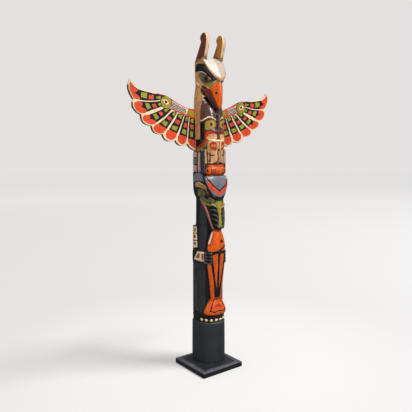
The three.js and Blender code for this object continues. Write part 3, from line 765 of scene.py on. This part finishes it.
def keep_modified(piece):
    """Makes what the modifiers show the piece's own mesh."""
    now = bpy.context.evaluated_depsgraph_get()
    now.update()
    mesh = bpy.data.meshes.new_from_object(piece.evaluated_get(now))
    old = piece.data
    piece.modifiers.clear()
    piece.data = mesh
    bpy.data.meshes.remove(old)


def spots_of(piece):
    """The places of a piece's points, in millimetres, and their outward directions."""
    mesh = piece.data
    places, outward = np.empty((2, len(mesh.vertices) * 3), np.float32)
    mesh.vertices.foreach_get("co", places)
    mesh.vertex_normals.foreach_get("vector", outward)
    return places.reshape(-1, 3).astype(float) / MM, outward.reshape(-1, 3).astype(float)


# Painting. Each paint has a field over the surface, which is above zero where that paint lies, and
# is worked out up to FIELD_REACH millimetres from the paint's edge.
FIELD_REACH = 14
FAR_AWAY = 1e3
# How far a painted shape reaches past its drawn outline.
SPREAD = {"field": 0, "patch": -0.2, "wide": 1.8}


def rounded_off(points, times):
    """Cuts the corners of an outline, so that it looks drawn with a brush."""
    points = np.array(points, float)
    for _ in range(times):
        along = np.roll(points, -1, axis=0) - points
        share = np.minimum(0.25, 3 / np.maximum(np.hypot(*along.T), 0.01))[:, None]
        points = np.stack([points + share * along, points + (1 - share) * along], 1).reshape(-1, 2)
    return points


def distance_to_line(u, z, a, b):
    ab = b - a
    t = np.clip(((u - a[0]) * ab[0] + (z - a[1]) * ab[1]) / max(ab @ ab, 1e-9), 0, 1)
    return np.hypot(u - a[0] - t * ab[0], z - a[1] - t * ab[1])


def inside(u, z, points):
    """How deep each place lies inside an outline; below zero outside it."""
    nearest = np.full(len(u), FAR_AWAY)
    within = np.zeros(len(u), bool)
    for a, b in zip(points, np.roll(points, -1, axis=0)):
        nearest = np.minimum(nearest, distance_to_line(u, z, a, b))
        if a[1] != b[1]:
            crosses = (a[1] > z) != (b[1] > z)
            within ^= crosses & (u < (b[0] - a[0]) * (z - a[1]) / (b[1] - a[1]) + a[0])
    return np.where(within, nearest, -nearest)


def distance_to_path(u, z, points):
    points = np.array(points, float)
    nearest = np.full(len(u), FAR_AWAY)
    for a, b in zip(points, points[1:]):
        nearest = np.minimum(nearest, distance_to_line(u, z, a, b))
    return nearest


def shape_field(u, z, kind, size, points):
    """The field of one painted shape, worked out only near it."""
    points = np.array(points, float)
    extent = FIELD_REACH + (size if kind in ("line", "spot") else 0)
    low, high = points.min(0) - extent, points.max(0) + extent
    close = (u > low[0]) & (u < high[0]) & (z > low[1]) & (z < high[1])
    field = np.full(len(u), -float(FIELD_REACH))
    if kind == "spot":
        field[close] = size - np.hypot(u[close] - points[0][0], z[close] - points[0][1])
    elif kind == "line":
        field[close] = size - distance_to_path(u[close], z[close], points)
    else:
        field[close] = inside(u[close], z[close], rounded_off(points, size)) + SPREAD[kind]
    return np.clip(field, -FIELD_REACH, FIELD_REACH)


def keep_field(piece, name, values):
    layer = piece.data.attributes.new(name, "FLOAT", "POINT")
    layer.data.foreach_set("value", values.astype(np.float32))


class Paints:
    """The paints on one piece, laid over each other in the order in which they are brushed on."""

    def __init__(self, count, names, ground):
        self.fields = {name: np.full(count, -float(FIELD_REACH)) for name in names}
        self.fields[ground] = np.full(count, float(FIELD_REACH))

    def lay(self, paint, field):
        for name, own in self.fields.items():
            if name == paint:
                self.fields[name] = np.maximum(own, field)
            else:
                self.fields[name] = np.minimum(own, -field)

    def keep(self, piece):
        names = list(self.fields)
        for name in names:
            keep_field(piece, "paint_" + name, self.fields[name])
        on_top = np.argmax([self.fields[name] for name in names], axis=0)
        for i, kind in enumerate(("roughness", "rub_and_highlight", "grain"), 1):
            keep_field(piece, kind, np.array([PAINTS[name][i] for name in names])[on_top])


def colour(red, green, blue):
    """The light that a colour sends back, from how it is seen on a scale of 0 to 255."""
    seen = [c / 255 for c in (red, green, blue)]
    return tuple(c / 12.92 if c <= 0.04045 else ((c + 0.055) / 1.055) ** 2.4 for c in seen)


# Each paint: its colour, how rough it dries, how much its high edges pale as rubbed paint and
# painted highlight, and how much grain shows.
PAINTS = {
    "black": (colour(20, 21, 23), 0.52, 0.17, 0.2),
    "charcoal": (colour(48, 51, 54), 0.55, 0.30, 0.5),
    "grey": (colour(110, 110, 121), 0.36, 0.45, 0.4),
    "navy": (colour(20, 25, 38), 0.58, 0.12, 0.2),
    "dark_brown": (colour(80, 50, 42), 0.24, 0.05, 0.15),
    "umber": (colour(70, 40, 26), 0.50, 0.05, 0.3),
    "maroon": (colour(100, 36, 22), 0.36, 0.08, 0.5),
    "horn_brown": (colour(176, 116, 52), 0.38, 0.05, 0.9),
    "tan": (colour(196, 148, 97), 0.42, 0.05, 1.0),
    "drab": (colour(138, 110, 80), 0.46, 0.05, 0.8),
    "sand": (colour(226, 172, 112), 0.40, 0.05, 0.9),
    "peach": (colour(222, 190, 152), 0.42, 0.05, 1.0),
    "leg_tan": (colour(210, 160, 114), 0.42, 0.05, 0.8),
    "khaki": (colour(104, 80, 56), 0.42, 0.05, 0.5),
    "amber": (colour(204, 116, 58), 0.40, 0.0, 0.3),
    "shaded_white": (colour(176, 161, 144), 0.40, 0.0, 0.3),
    "cream": (colour(236, 210, 172), 0.42, 0.05, 0.4),
    "white": (colour(182, 179, 172), 0.40, 0.0, 0.15),
    "olive_brown": (colour(92, 88, 54), 0.42, 0.1, 0.4),
    "moss": (colour(112, 116, 46), 0.44, 0.1, 0.3),
    "yellow_olive": (colour(148, 136, 44), 0.42, 0.1, 0.4),
    "lime": (colour(150, 148, 38), 0.52, 0.05, 0.5),
    "orange": (colour(220, 92, 4), 0.38, 0.03, 0.8),
    "orange_red": (colour(212, 72, 32), 0.50, 0.03, 0.5),
    "red": (colour(190, 44, 28), 0.42, 0.05, 0.4),
    "lip_brown": (colour(144, 80, 58), 0.38, 0.1, 0.5),
    "pink_grey": (colour(192, 154, 150), 0.46, 0.2, 0.5),
    "moss_grey": (colour(104, 110, 82), 0.46, 0.2, 0.4),
    "edge_brown": (colour(96, 68, 44), 0.70, 0.1, 1.0),
}


class Wiring:
    """The nodes of a material or of the world, and the wires between them."""

    def __init__(self, owner):
        owner.use_nodes = True
        self.owner = owner
        self.tree = owner.node_tree
        self.shader = self.tree.nodes.get("Principled BSDF")

    def put(self, kind, inputs=(), **settings):
        """Adds a node with its settings, its inputs given as numbers, colours or wires."""
        node = self.tree.nodes.new(kind)
        for key, value in settings.items():
            setattr(node, key, value)
        for socket, value in dict(inputs).items():
            if isinstance(value, bpy.types.NodeSocket):
                self.tree.links.new(value, node.inputs[socket])
            else:
                node.inputs[socket].default_value = value
        return node

    def wire(self, source, socket):
        self.tree.links.new(source, self.shader.inputs[socket])

    def place(self, scale=(1, 1, 1)):
        spot = self.put("ShaderNodeTexCoord").outputs["Object"]
        return self.put("ShaderNodeMapping", {"Vector": spot, "Scale": scale}).outputs[0]

    def noise(self, scale, detail=3, stretch=(1, 1, 1)):
        return self.put(
            "ShaderNodeTexNoise",
            {"Vector": self.place(stretch), "Scale": scale, "Detail": detail, "Roughness": 0.55},
        ).outputs["Fac"]

    def between(self, value, low, high, to_low=0.0, to_high=1.0, soft=False):
        ranges = {"From Min": low, "From Max": high, "To Min": to_low, "To Max": to_high}
        kind = "SMOOTHSTEP" if soft else "LINEAR"
        node = self.put("ShaderNodeMapRange", {"Value": value, **ranges}, interpolation_type=kind)
        return node.outputs[0]

    def maths(self, operation, first, second):
        return self.put("ShaderNodeMath", {0: first, 1: second}, operation=operation).outputs[0]

    def times(self, first, second):
        return self.maths("MULTIPLY", first, second)

    def plus(self, first, second):
        return self.maths("ADD", first, second)

    def bump(self, height, strength, distance):
        inputs = {"Height": height, "Strength": strength, "Distance": distance}
        self.wire(self.put("ShaderNodeBump", inputs).outputs[0], "Normal")

    def darken(self, shade, share, tint):
        return self.mix(share, shade, tint, "MULTIPLY")

    def mix(self, share, first, second, blend="MIX"):
        first, second = ((*c, 1) if isinstance(c, tuple) else c for c in (first, second))
        settings = {"data_type": "RGBA", "blend_type": blend}
        return self.put("ShaderNodeMix", {0: share, 6: first, 7: second}, **settings).outputs[2]

    def field(self, name):
        return self.put("ShaderNodeAttribute", attribute_name=name).outputs["Fac"]


def painted_wood(name, paints, ground, relief, hatched=False):
    """Brushed paint on wood: grain streaks, dirt and painted shade in hollows, rubbed edges and
    painted highlights.
    """
    m = Wiring(bpy.data.materials.new(name))
    grain = m.field("grain")
    shade = PAINTS[ground][0]
    # The paints, with a slightly wavering edge between them
    waver = m.between(m.noise(220, 4), 0, 1, -0.5, 0.5)
    for paint in paints:
        if paint != ground:
            edge = m.plus(m.field("paint_" + paint), waver)
            shade = m.mix(m.between(edge, -0.25, 0.25, soft=True), shade, PAINTS[paint][0])
    if hatched:
        lines = m.times(crossing_lines(m), m.between(m.field("hatched"), 0, 0.4))
        shade = m.mix(lines, shade, colour(92, 56, 36))
    # The wood's grain in the paint: long streaks, brush dabs, flecks and broad blotches
    streak = m.noise(70, 5, (1, 1, 0.09))
    dark_streak = m.times(m.between(streak, 0.42, 0.72), grain)
    shade = m.darken(shade, m.times(dark_streak, 0.62), colour(140, 92, 58))
    pale_streak = m.times(m.between(streak, 0.46, 0.28), grain)
    shade = m.mix(m.times(pale_streak, 0.3), shade, colour(250, 214, 160), "SOFT_LIGHT")
    dab = m.times(m.between(m.noise(150, 3, (1, 1, 0.6)), 0.46, 0.68), grain)
    shade = m.darken(shade, m.times(dab, 0.5), colour(150, 104, 70))
    fleck = m.between(m.noise(340, 2, (1, 1, 0.3)), 0.68, 0.74)
    shade = m.mix(m.times(fleck, grain), shade, colour(40, 28, 22))
    shade = m.darken(shade, m.between(m.noise(16, 4), 0.35, 0.75, 0.0, 0.22), colour(120, 92, 70))
    # Dirt and painted shade in the hollows and broad recesses; rubbed paint and painted highlights
    # on crests
    shade = m.mix(m.between(m.field("deep"), 0.1, 1.0, 0.0, 0.72), shade, colour(20, 15, 12))
    shade = m.mix(m.between(m.field("hollow_dirt_and_shade"), 0.1, 0.7, 0.0, 0.85), shade, colour(14, 12, 11))
    speckle = m.between(m.noise(420, 3), 0, 1, -0.45, 0.45)
    crest_rub_and_highlight = m.between(m.plus(m.field("crest_rub_and_highlight"), speckle), 0.5, 1.0)
    shade = m.mix(m.times(crest_rub_and_highlight, m.field("rub_and_highlight")), shade, colour(172, 164, 158))
    m.wire(shade, "Base Color")
    dull = m.between(m.noise(90, 4), 0.3, 0.7, -0.07, 0.10)
    m.wire(m.plus(m.field("roughness"), dull), "Roughness")
    m.wire(m.between(m.field("roughness"), 0.27, 0.6, 0.62, 0.14), "Specular IOR Level")
    m.bump(m.plus(m.times(streak, grain), m.times(m.noise(300, 3), 0.4)), relief, 0.0012)
    return m.owner


STROKE_SPACING = 0.0042  # half the distance from stroke to stroke, in metres


def crossing_lines(m):
    """Thin slanting strokes that cross each other, as on the white patch of a wing."""
    axes = m.put("ShaderNodeSeparateXYZ", {0: m.place()})
    waver = m.between(m.noise(120, 2), 0, 1, -0.0016, 0.0016)
    strokes = []
    for across in (0.8, -0.6):
        run = m.plus(m.times(axes.outputs[0], across), axes.outputs[2])
        strokes.append(m.maths("PINGPONG", m.plus(run, waver), STROKE_SPACING))
    return m.between(m.maths("MINIMUM", strokes[0], strokes[1]), 0.0008, 0.0018, 1, 0)


def curvature(piece, places, outward, reach):
    """How far each point stands out from those around it, which are evened out reach times."""
    mesh = piece.data
    edges = np.empty(len(mesh.edges) * 2, np.int32)
    mesh.edges.foreach_get("vertices", edges)
    a, b = edges.reshape(-1, 2).T
    points = len(places)
    count = np.maximum(np.bincount(a, minlength=points) + np.bincount(b, minlength=points), 1)
    even = places.copy()
    for _ in range(reach):
        total = np.zeros_like(places)
        for k in range(3):
            total[:, k] = np.bincount(a, even[b, k], points) + np.bincount(b, even[a, k], points)
        even = total / count[:, None]
    return ((places - even) * outward).sum(1)


# How far out or in, in millimetres, a point is fully pale on crests, or fully dark in small and in
# broad hollows
CREST_HEIGHT, HOLLOW_DEPTH, DEEP_DEPTH = 0.9, 1.2, 3.2
MOST_WEAR_AND_SHADE = 1.5
PALE_CRESTS_ABOVE = 24  # next to the plate no crests are rubbed pale or given painted highlights


def keep_wear_highlight_and_shade(piece, places, outward):
    """Keeps where a piece is rubbed pale with painted highlights, and where dirt and painted shade
    darken it: in its cuts and between its forms.
    """
    near = curvature(piece, places, outward, 6)
    wide = curvature(piece, places, outward, 40)
    above_plate = np.clip((places[:, 2] - PALE_CRESTS_ABOVE) / 6, 0, 1)
    keep_field(piece, "crest_rub_and_highlight", np.clip(near / CREST_HEIGHT, 0, MOST_WEAR_AND_SHADE) * above_plate)
    keep_field(piece, "hollow_dirt_and_shade", np.clip(-near / HOLLOW_DEPTH, 0, MOST_WEAR_AND_SHADE))
    keep_field(piece, "deep", np.clip(-wide / DEEP_DEPTH, 0, MOST_WEAR_AND_SHADE))


# The pole

def unrolled(places):
    """Places on the log as a length round it from the front's middle, and a height."""
    x, y, z = places.T
    half_round = LOG_ROUND * math.pi / 2
    ahead = LOG_ROUND * np.arctan2(np.abs(x), np.maximum(LOG_MIDDLE_Y - y, 1e-6))
    return np.where(y < LOG_MIDDLE_Y, ahead, half_round + y - LOG_MIDDLE_Y), z


FLANK_GROOVE = 93


def is_bare(places):
    """Where the log is plain: its foot, its sawn back and the flat fields on its sides."""
    u, z = unrolled(places)
    foot = z < 166
    back = places[:, 1] > LOG_BACK_Y - 2.5
    side = u > 60
    low_side = side & (np.abs(u - FLANK_GROOVE) > 5) & (z > 208) & (z < 382)
    high_side = side & (u < 95) & (z > 440) & (z < 600)
    return foot | back | low_side | high_side


KNIFE_LINES = [
    # half width, depth, and the line in lengths round the log and heights
    (1.6, 1.2, [(47, 703), (38, 691), (24, 673), (2, 656)]),
    (1.5, 1.0, [(-5, 255), (16, 257), (27, 237), (34, 215), (18, 210), (3, 214)]),
    (1.4, 1.2, [(30, 732), (29, 716)]),
    (1.4, 1.2, [(23, 732), (22, 716)]),
    (1.4, 1.2, [(16, 732), (15, 716)]),
    (1.4, 1.0, [(-3, 733), (-3, 716)]),
    (1.8, 2.2, [(FLANK_GROOVE, 368), (FLANK_GROOVE, 208)]),
]


def cut_lines(piece):
    """Draws the knife along each line."""
    places, outward = spots_of(piece)
    u, z = unrolled(places)
    depth = np.zeros(len(u))
    for half_width, deep, line in KNIFE_LINES:
        nearest = distance_to_path(u, z, line)
        depth = np.maximum(depth, deep * np.exp(-((nearest / half_width) ** 2)))
    moved = (places - outward * depth[:, None]) * MM
    piece.data.vertices.foreach_set("co", moved.astype(np.float32).ravel())
    piece.data.update()


def lay_shapes(paints, u, z, shapes, only=None):
    """Paints each shape in turn and, where a last field is given, only where it is above zero."""
    for paint, kind, size, *outlines in shapes:
        for points in outlines:
            field = shape_field(u, z, kind, size, points)
            paints.lay(paint, field if only is None else np.minimum(field, only))


POLE_PAINTS = [name for name in PAINTS if name not in ("navy", "edge_brown")]
FACE_SHARPNESS = 8  # how quickly the paint ends where a face turns away
CORE_RADIUS = 34
BIRD_CHEEK_Z = 1000
CLAW_RADIUS = 6.3
FOOT_RING_Z = 205


def paint_log(log):
    places, outward = spots_of(log)
    u, height = unrolled(places)
    side_x, depth_y = np.abs(places[:, 0]), places[:, 1]
    paints = Paints(len(u), POLE_PAINTS, "black")
    # Large fields first: bare flanks, the tan head and neck, the dark face under it, and black
    # painted shadow behind the beak.
    lay_shapes(paints, u, height, BARE_FIELDS)
    lay_shapes(paints, u, height, SALMON_AND_ARMS)
    lay_shapes(paints, np.where(places[:, 0] < 0, u, -u), height, SALMON_HEAD)
    lay_shapes(paints, u, height, BEAR_HEAD)
    lay_shapes(paints, u, height, MIDDLE_FIGURE)
    # The bird's paint lies only on what stands out of the log's core, or is high up.
    stands_out = np.hypot(places[:, 0], depth_y - LOG_MIDDLE_Y) - CORE_RADIUS
    lay_shapes(paints, u, height, BIRD_HEAD, np.maximum(stands_out, height - BIRD_CHEEK_Z))
    # The brow shield: tan edges and a white face, greyer right of its fold. Its paint reaches a
    # few millimetres past the plank on every side.
    above_top = height - shield_top(places[:, 0], depth_y)
    on_shield = np.minimum.reduce([
        above_top + SHIELD_THICKNESS + 3, 4 - above_top, 46 - side_x, 10 - depth_y,
    ])
    paints.lay("tan", on_shield)
    shield_face = np.minimum(on_shield, (outward[:, 2] - 0.35) * FACE_SHARPNESS)
    paints.lay("white", shield_face)
    # Right of the fold the white is painted greyer: painted shade on that facet of the fold.
    fold = 4 - 0.006 * (depth_y + 20) ** 2
    paints.lay("shaded_white", np.minimum(shield_face, places[:, 0] - fold))
    # The horns: pale rims, dark red outsides and brown insides
    horn_foot = np.maximum(1118, 1130 - 0.6 * (depth_y + 12))
    on_horn = np.minimum(height - horn_foot, side_x - 26)
    turned_out = outward[:, 0] * np.sign(places[:, 0])
    paints.lay("peach", on_horn)
    for paint, turned in (("maroon", turned_out), ("horn_brown", -turned_out)):
        paints.lay(paint, np.minimum(on_horn, (turned - 0.6) * FACE_SHARPNESS))
    for turn in CLAW_TURNS:
        from_claw = np.linalg.norm((places - np.array(claw_place(turn))) * (1, 1, 1.2), axis=1)
        paints.lay("cream", CLAW_RADIUS - from_claw)
    paints.lay("dark_brown", np.minimum(depth_y - (LOG_BACK_Y - 1.2), height - FOOT_RING_Z))
    paints.keep(log)
    keep_wear_highlight_and_shade(log, places, outward)


pole = one_skin("pole_carved", carving, CARVING_GRAIN, CARVING_TRIANGLES, 2, is_bare)
cut_lines(pole)
paint_log(pole)
pole.data.materials.append(painted_wood("painted_log", POLE_PAINTS, "black", 0.35))
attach(pole, "root")
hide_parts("pole")

# The wings
WING_TOP_EDGE = [
    (44.5, 946), (84, 949), (122, 963), (154, 979), (177, 987), (208, 991), (247, 995),
    (281, 1002), (301, 1016), (309, 1028),
]
FEATHER_CUSPS = [
    (309, 1028), (298, 966), (269, 916), (229, 881), (186, 854), (132, 834), (80, 822),
    (44.8, 797),
]
WING_PAINTS = ["edge_brown", "cream", "navy", "orange_red", "lime", "white"]
WING_EYE = (171, 963)
CREAM_RIM = 2.6


def wing_outline():
    """The board's outline from its root along the top edge and back round the feathers' ends."""
    top = [Vector((44.8, 946)), *through([(x, z, 0) for x, z in WING_TOP_EDGE[1:]], 4)]
    outline = [Vector((p[0], p[1])) for p in top]
    last = len(FEATHER_CUSPS) - 2
    for i, (start, end) in enumerate(zip(FEATHER_CUSPS, FEATHER_CUSPS[1:])):
        start, end = Vector(start), Vector(end)
        chord = end - start
        # The first and last feather ends are flatter than the rest.
        swell = 0.36 if i == 0 else 0.2 if i == last else 0.5
        control = start + chord * 0.38 + Vector((-chord.y, chord.x)) * swell
        outline += bent(start, control, end, 14)
    return outline


WING_OUTLINE = wing_outline()


def wing_board(side):
    form = plank([p * MM for p in WING_OUTLINE], (WING_BACK_Y - WING_FRONT_Y) * MM, 0)
    for v in form.verts:
        v.co = (side * v.co.x, WING_BACK_Y * MM - v.co.z, v.co.y)
    bmesh.ops.recalc_face_normals(form, faces=form.faces)
    name = "wing_board_left" if side < 0 else "wing_board_right"
    board = one_skin(name, form, BOARD_GRAIN, BOARD_TRIANGLES, 1)
    places, outward = spots_of(board)
    u, z = side * places[:, 0], places[:, 2]
    upward = (outward[:, 2] - 0.15) * FACE_SHARPNESS
    face = np.maximum(WING_FRONT_Y + 1.0 - places[:, 1], upward)
    paints = Paints(len(u), WING_PAINTS, "edge_brown")
    paints.lay("cream", face)
    lay_shapes(paints, u, z, WING_SHAPES, np.minimum(face, inside(u, z, WING_ROWS) - CREAM_RIM))
    lay_shapes(paints, u, z, TOP_LINE, face)
    hatched = shape_field(u, z, "field", 0, WHITE_PATCH)
    if side > 0:
        lay_shapes(paints, u, z, RIGHT_ROOT, face)
        hatched = np.minimum(hatched, u - RIGHT_HATCH_START)
    from_eye = np.hypot((u - WING_EYE[0]) * 0.98, z - WING_EYE[1])
    for paint, radius in (("navy", 23.5), ("lime", 21)):
        paints.lay(paint, np.minimum(radius - from_eye, face))
    lay_shapes(paints, u, z, EYE_SHAPES, face)
    paints.keep(board)
    keep_field(board, "hatched", np.minimum(hatched, face))
    keep_wear_highlight_and_shade(board, places, outward)
    board.data.materials.append(WING_WOOD)
    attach(board, "root")
    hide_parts("wing_left" if side < 0 else "wing_right")


WING_ROWS = np.array([(p[0], p[1]) for p in WING_OUTLINE])
WING_WOOD = painted_wood("painted_board", WING_PAINTS, "edge_brown", 0.3, hatched=True)
for side in (-1, 1):
    wing_board(side)


# The base plate

def rubbed_paint_shaded_sides(middle_x):
    """Black paint, greyed by rubbing in a ragged band along the edges of the upper face; its sides
    darker as painted shade.
    """
    m = Wiring(bpy.data.materials.new("rubbed_black_plate_shaded_sides"))
    axes = m.put("ShaderNodeSeparateXYZ", {0: m.place()})
    far_x = m.maths("ABSOLUTE", m.maths("SUBTRACT", axes.outputs[0], middle_x), 0.0)
    far_y = m.maths("ABSOLUTE", axes.outputs[1], 0.0)
    far = m.maths("MAXIMUM", far_x, far_y)
    ragged = m.between(m.noise(60, 5), 0, 1, -0.012, 0.012)
    rub = m.between(m.plus(far, ragged), 0.066, 0.080, soft=True)
    rub = m.times(rub, m.between(axes.outputs[2], 0.0145, 0.0185))
    scuff = m.between(m.noise(150, 5), 0.35, 0.75)
    rub = m.times(rub, m.between(scuff, 0, 1, 0.35, 0.95))
    edge = m.between(far, 0.0868, 0.0888, 0, 0.12)
    rub = m.maths("MAXIMUM", rub, m.times(edge, scuff))
    shade = m.mix(m.between(m.noise(30, 4), 0.3, 0.7), colour(26, 27, 31), colour(40, 41, 47))
    # The sides are painted darker than the top face: painted shade.
    shade = m.mix(m.between(axes.outputs[2], 0.013, 0.016), colour(15, 15, 17), shade)
    m.wire(m.mix(rub, shade, colour(100, 100, 108)), "Base Color")
    m.shader.inputs["Specular IOR Level"].default_value = 0.2
    m.wire(m.between(m.noise(80, 4), 0.3, 0.7, 0.4, 0.6), "Roughness")
    m.bump(m.noise(200, 4), 0.25, 0.0008)
    return m.owner


def base_plate():
    form = bmesh.new()
    low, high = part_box("base_plate")
    size, middle = high - low, (low + high) / 2
    place = Matrix.Translation(middle) @ Matrix.Diagonal((*size, 1))
    bmesh.ops.create_cube(form, size=1, matrix=place)
    top = [e for e in form.edges if all(v.co.z > middle.z for v in e.verts)]
    bmesh.ops.bevel(form, geom=top, offset=3.5 * MM, segments=4, **EASED)
    rest = [e for e in form.edges if e.is_manifold and e.calc_face_angle(0) > 0.6]
    bmesh.ops.bevel(form, geom=rest, offset=0.8 * MM, segments=3, **EASED)
    plate = made_into_piece("plate_board", form)
    plate.data.shade_smooth()
    plate.data.materials.append(rubbed_paint_shaded_sides(middle.x))
    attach(plate, "root")
    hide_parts("base_plate")


base_plate()


# The room: a plain pale floor, a pale surround and soft lamps.
LAMPS = [
    # name, place, size, watts, colour
    ("key", (2.64, -2.34, 7.0), (1.8, 1.8), 320, (1, 0.99, 0.97)),
    ("front", (0.36, -2.1, 2.4), (0.45, 1.0), 52, (0.99, 0.985, 1)),
    ("left", (-2.2, -1.2, 1.5), (1.1, 1.1), 40, (1, 0.995, 0.98)),
]
LAMPS_AIM = Vector((0, 0, 0.6))


def pale_floor():
    form = bmesh.new()
    bmesh.ops.create_circle(form, cap_ends=True, segments=64, radius=30)
    floor = made_into_piece("floor", form)
    m = Wiring(bpy.data.materials.new("pale_floor"))
    m.wire(m.mix(m.noise(2, 2), (0.78, 0.77, 0.765), (0.80, 0.79, 0.785)), "Base Color")
    for socket, value in (
        ("Roughness", 0.9), ("Specular IOR Level", 0.0), ("Emission Color", (1, 0.975, 0.965, 1)),
    ):
        m.shader.inputs[socket].default_value = value
    # The floor glows a little, so that it stays pale where the lamps fade.
    far = m.put("ShaderNodeVectorMath", {0: m.place()}, operation="LENGTH").outputs["Value"]
    glow = m.between(far, 0.3, 1.1, 0.35, 0.26, soft=True)
    glow = m.plus(glow, m.between(far, 1.0, 7.2, 0, 0.23))
    glow = m.plus(glow, m.between(far, 7.2, 25, 0, 0.06))
    m.wire(glow, "Emission Strength")
    floor.data.materials.append(m.owner)
    floor.visible_diffuse = floor.visible_glossy = False
    return floor


def surround():
    """A pale wall to the eye, which lights the pole less than it shows."""
    scene.world = bpy.data.worlds.new("surround")
    w = Wiring(scene.world)
    nodes = w.tree.nodes
    nodes["Background"].inputs["Color"].default_value = (0.775, 0.748, 0.742, 1)
    light = {"Color": (0.98, 0.99, 1, 1), "Strength": 0.30}
    seen = w.put("ShaderNodeLightPath").outputs["Is Camera Ray"]
    choice = w.put("ShaderNodeMixShader", {
        0: seen,
        1: w.put("ShaderNodeBackground", light).outputs[0],
        2: nodes["Background"].outputs[0],
    })
    w.tree.links.new(choice.outputs[0], nodes["World Output"].inputs[0])


def add_lamp(name, place, size, watts, tint, floor):
    lamp = bpy.data.lights.new(name, "AREA")
    lamp.shape = "RECTANGLE"
    lamp.size, lamp.size_y = size
    lamp.energy = watts
    lamp.color = tint
    stand = bpy.data.objects.new(name, lamp)
    stand.location = place
    stand.rotation_euler = (LAMPS_AIM - Vector(place)).to_track_quat("-Z", "Y").to_euler()
    scene.collection.objects.link(stand)
    stand.visible_glossy = name != "left"
    if name != "key":
        unlit = bpy.data.collections.new("not_lit_by_" + name)
        unlit.objects.link(floor)
        stand.light_linking.receiver_collection = unlit
        unlit.collection_objects[0].light_linking.link_state = "EXCLUDE"


def studio():
    floor = pale_floor()
    surround()
    for lamp in LAMPS:
        add_lamp(*lamp, floor)


studio()
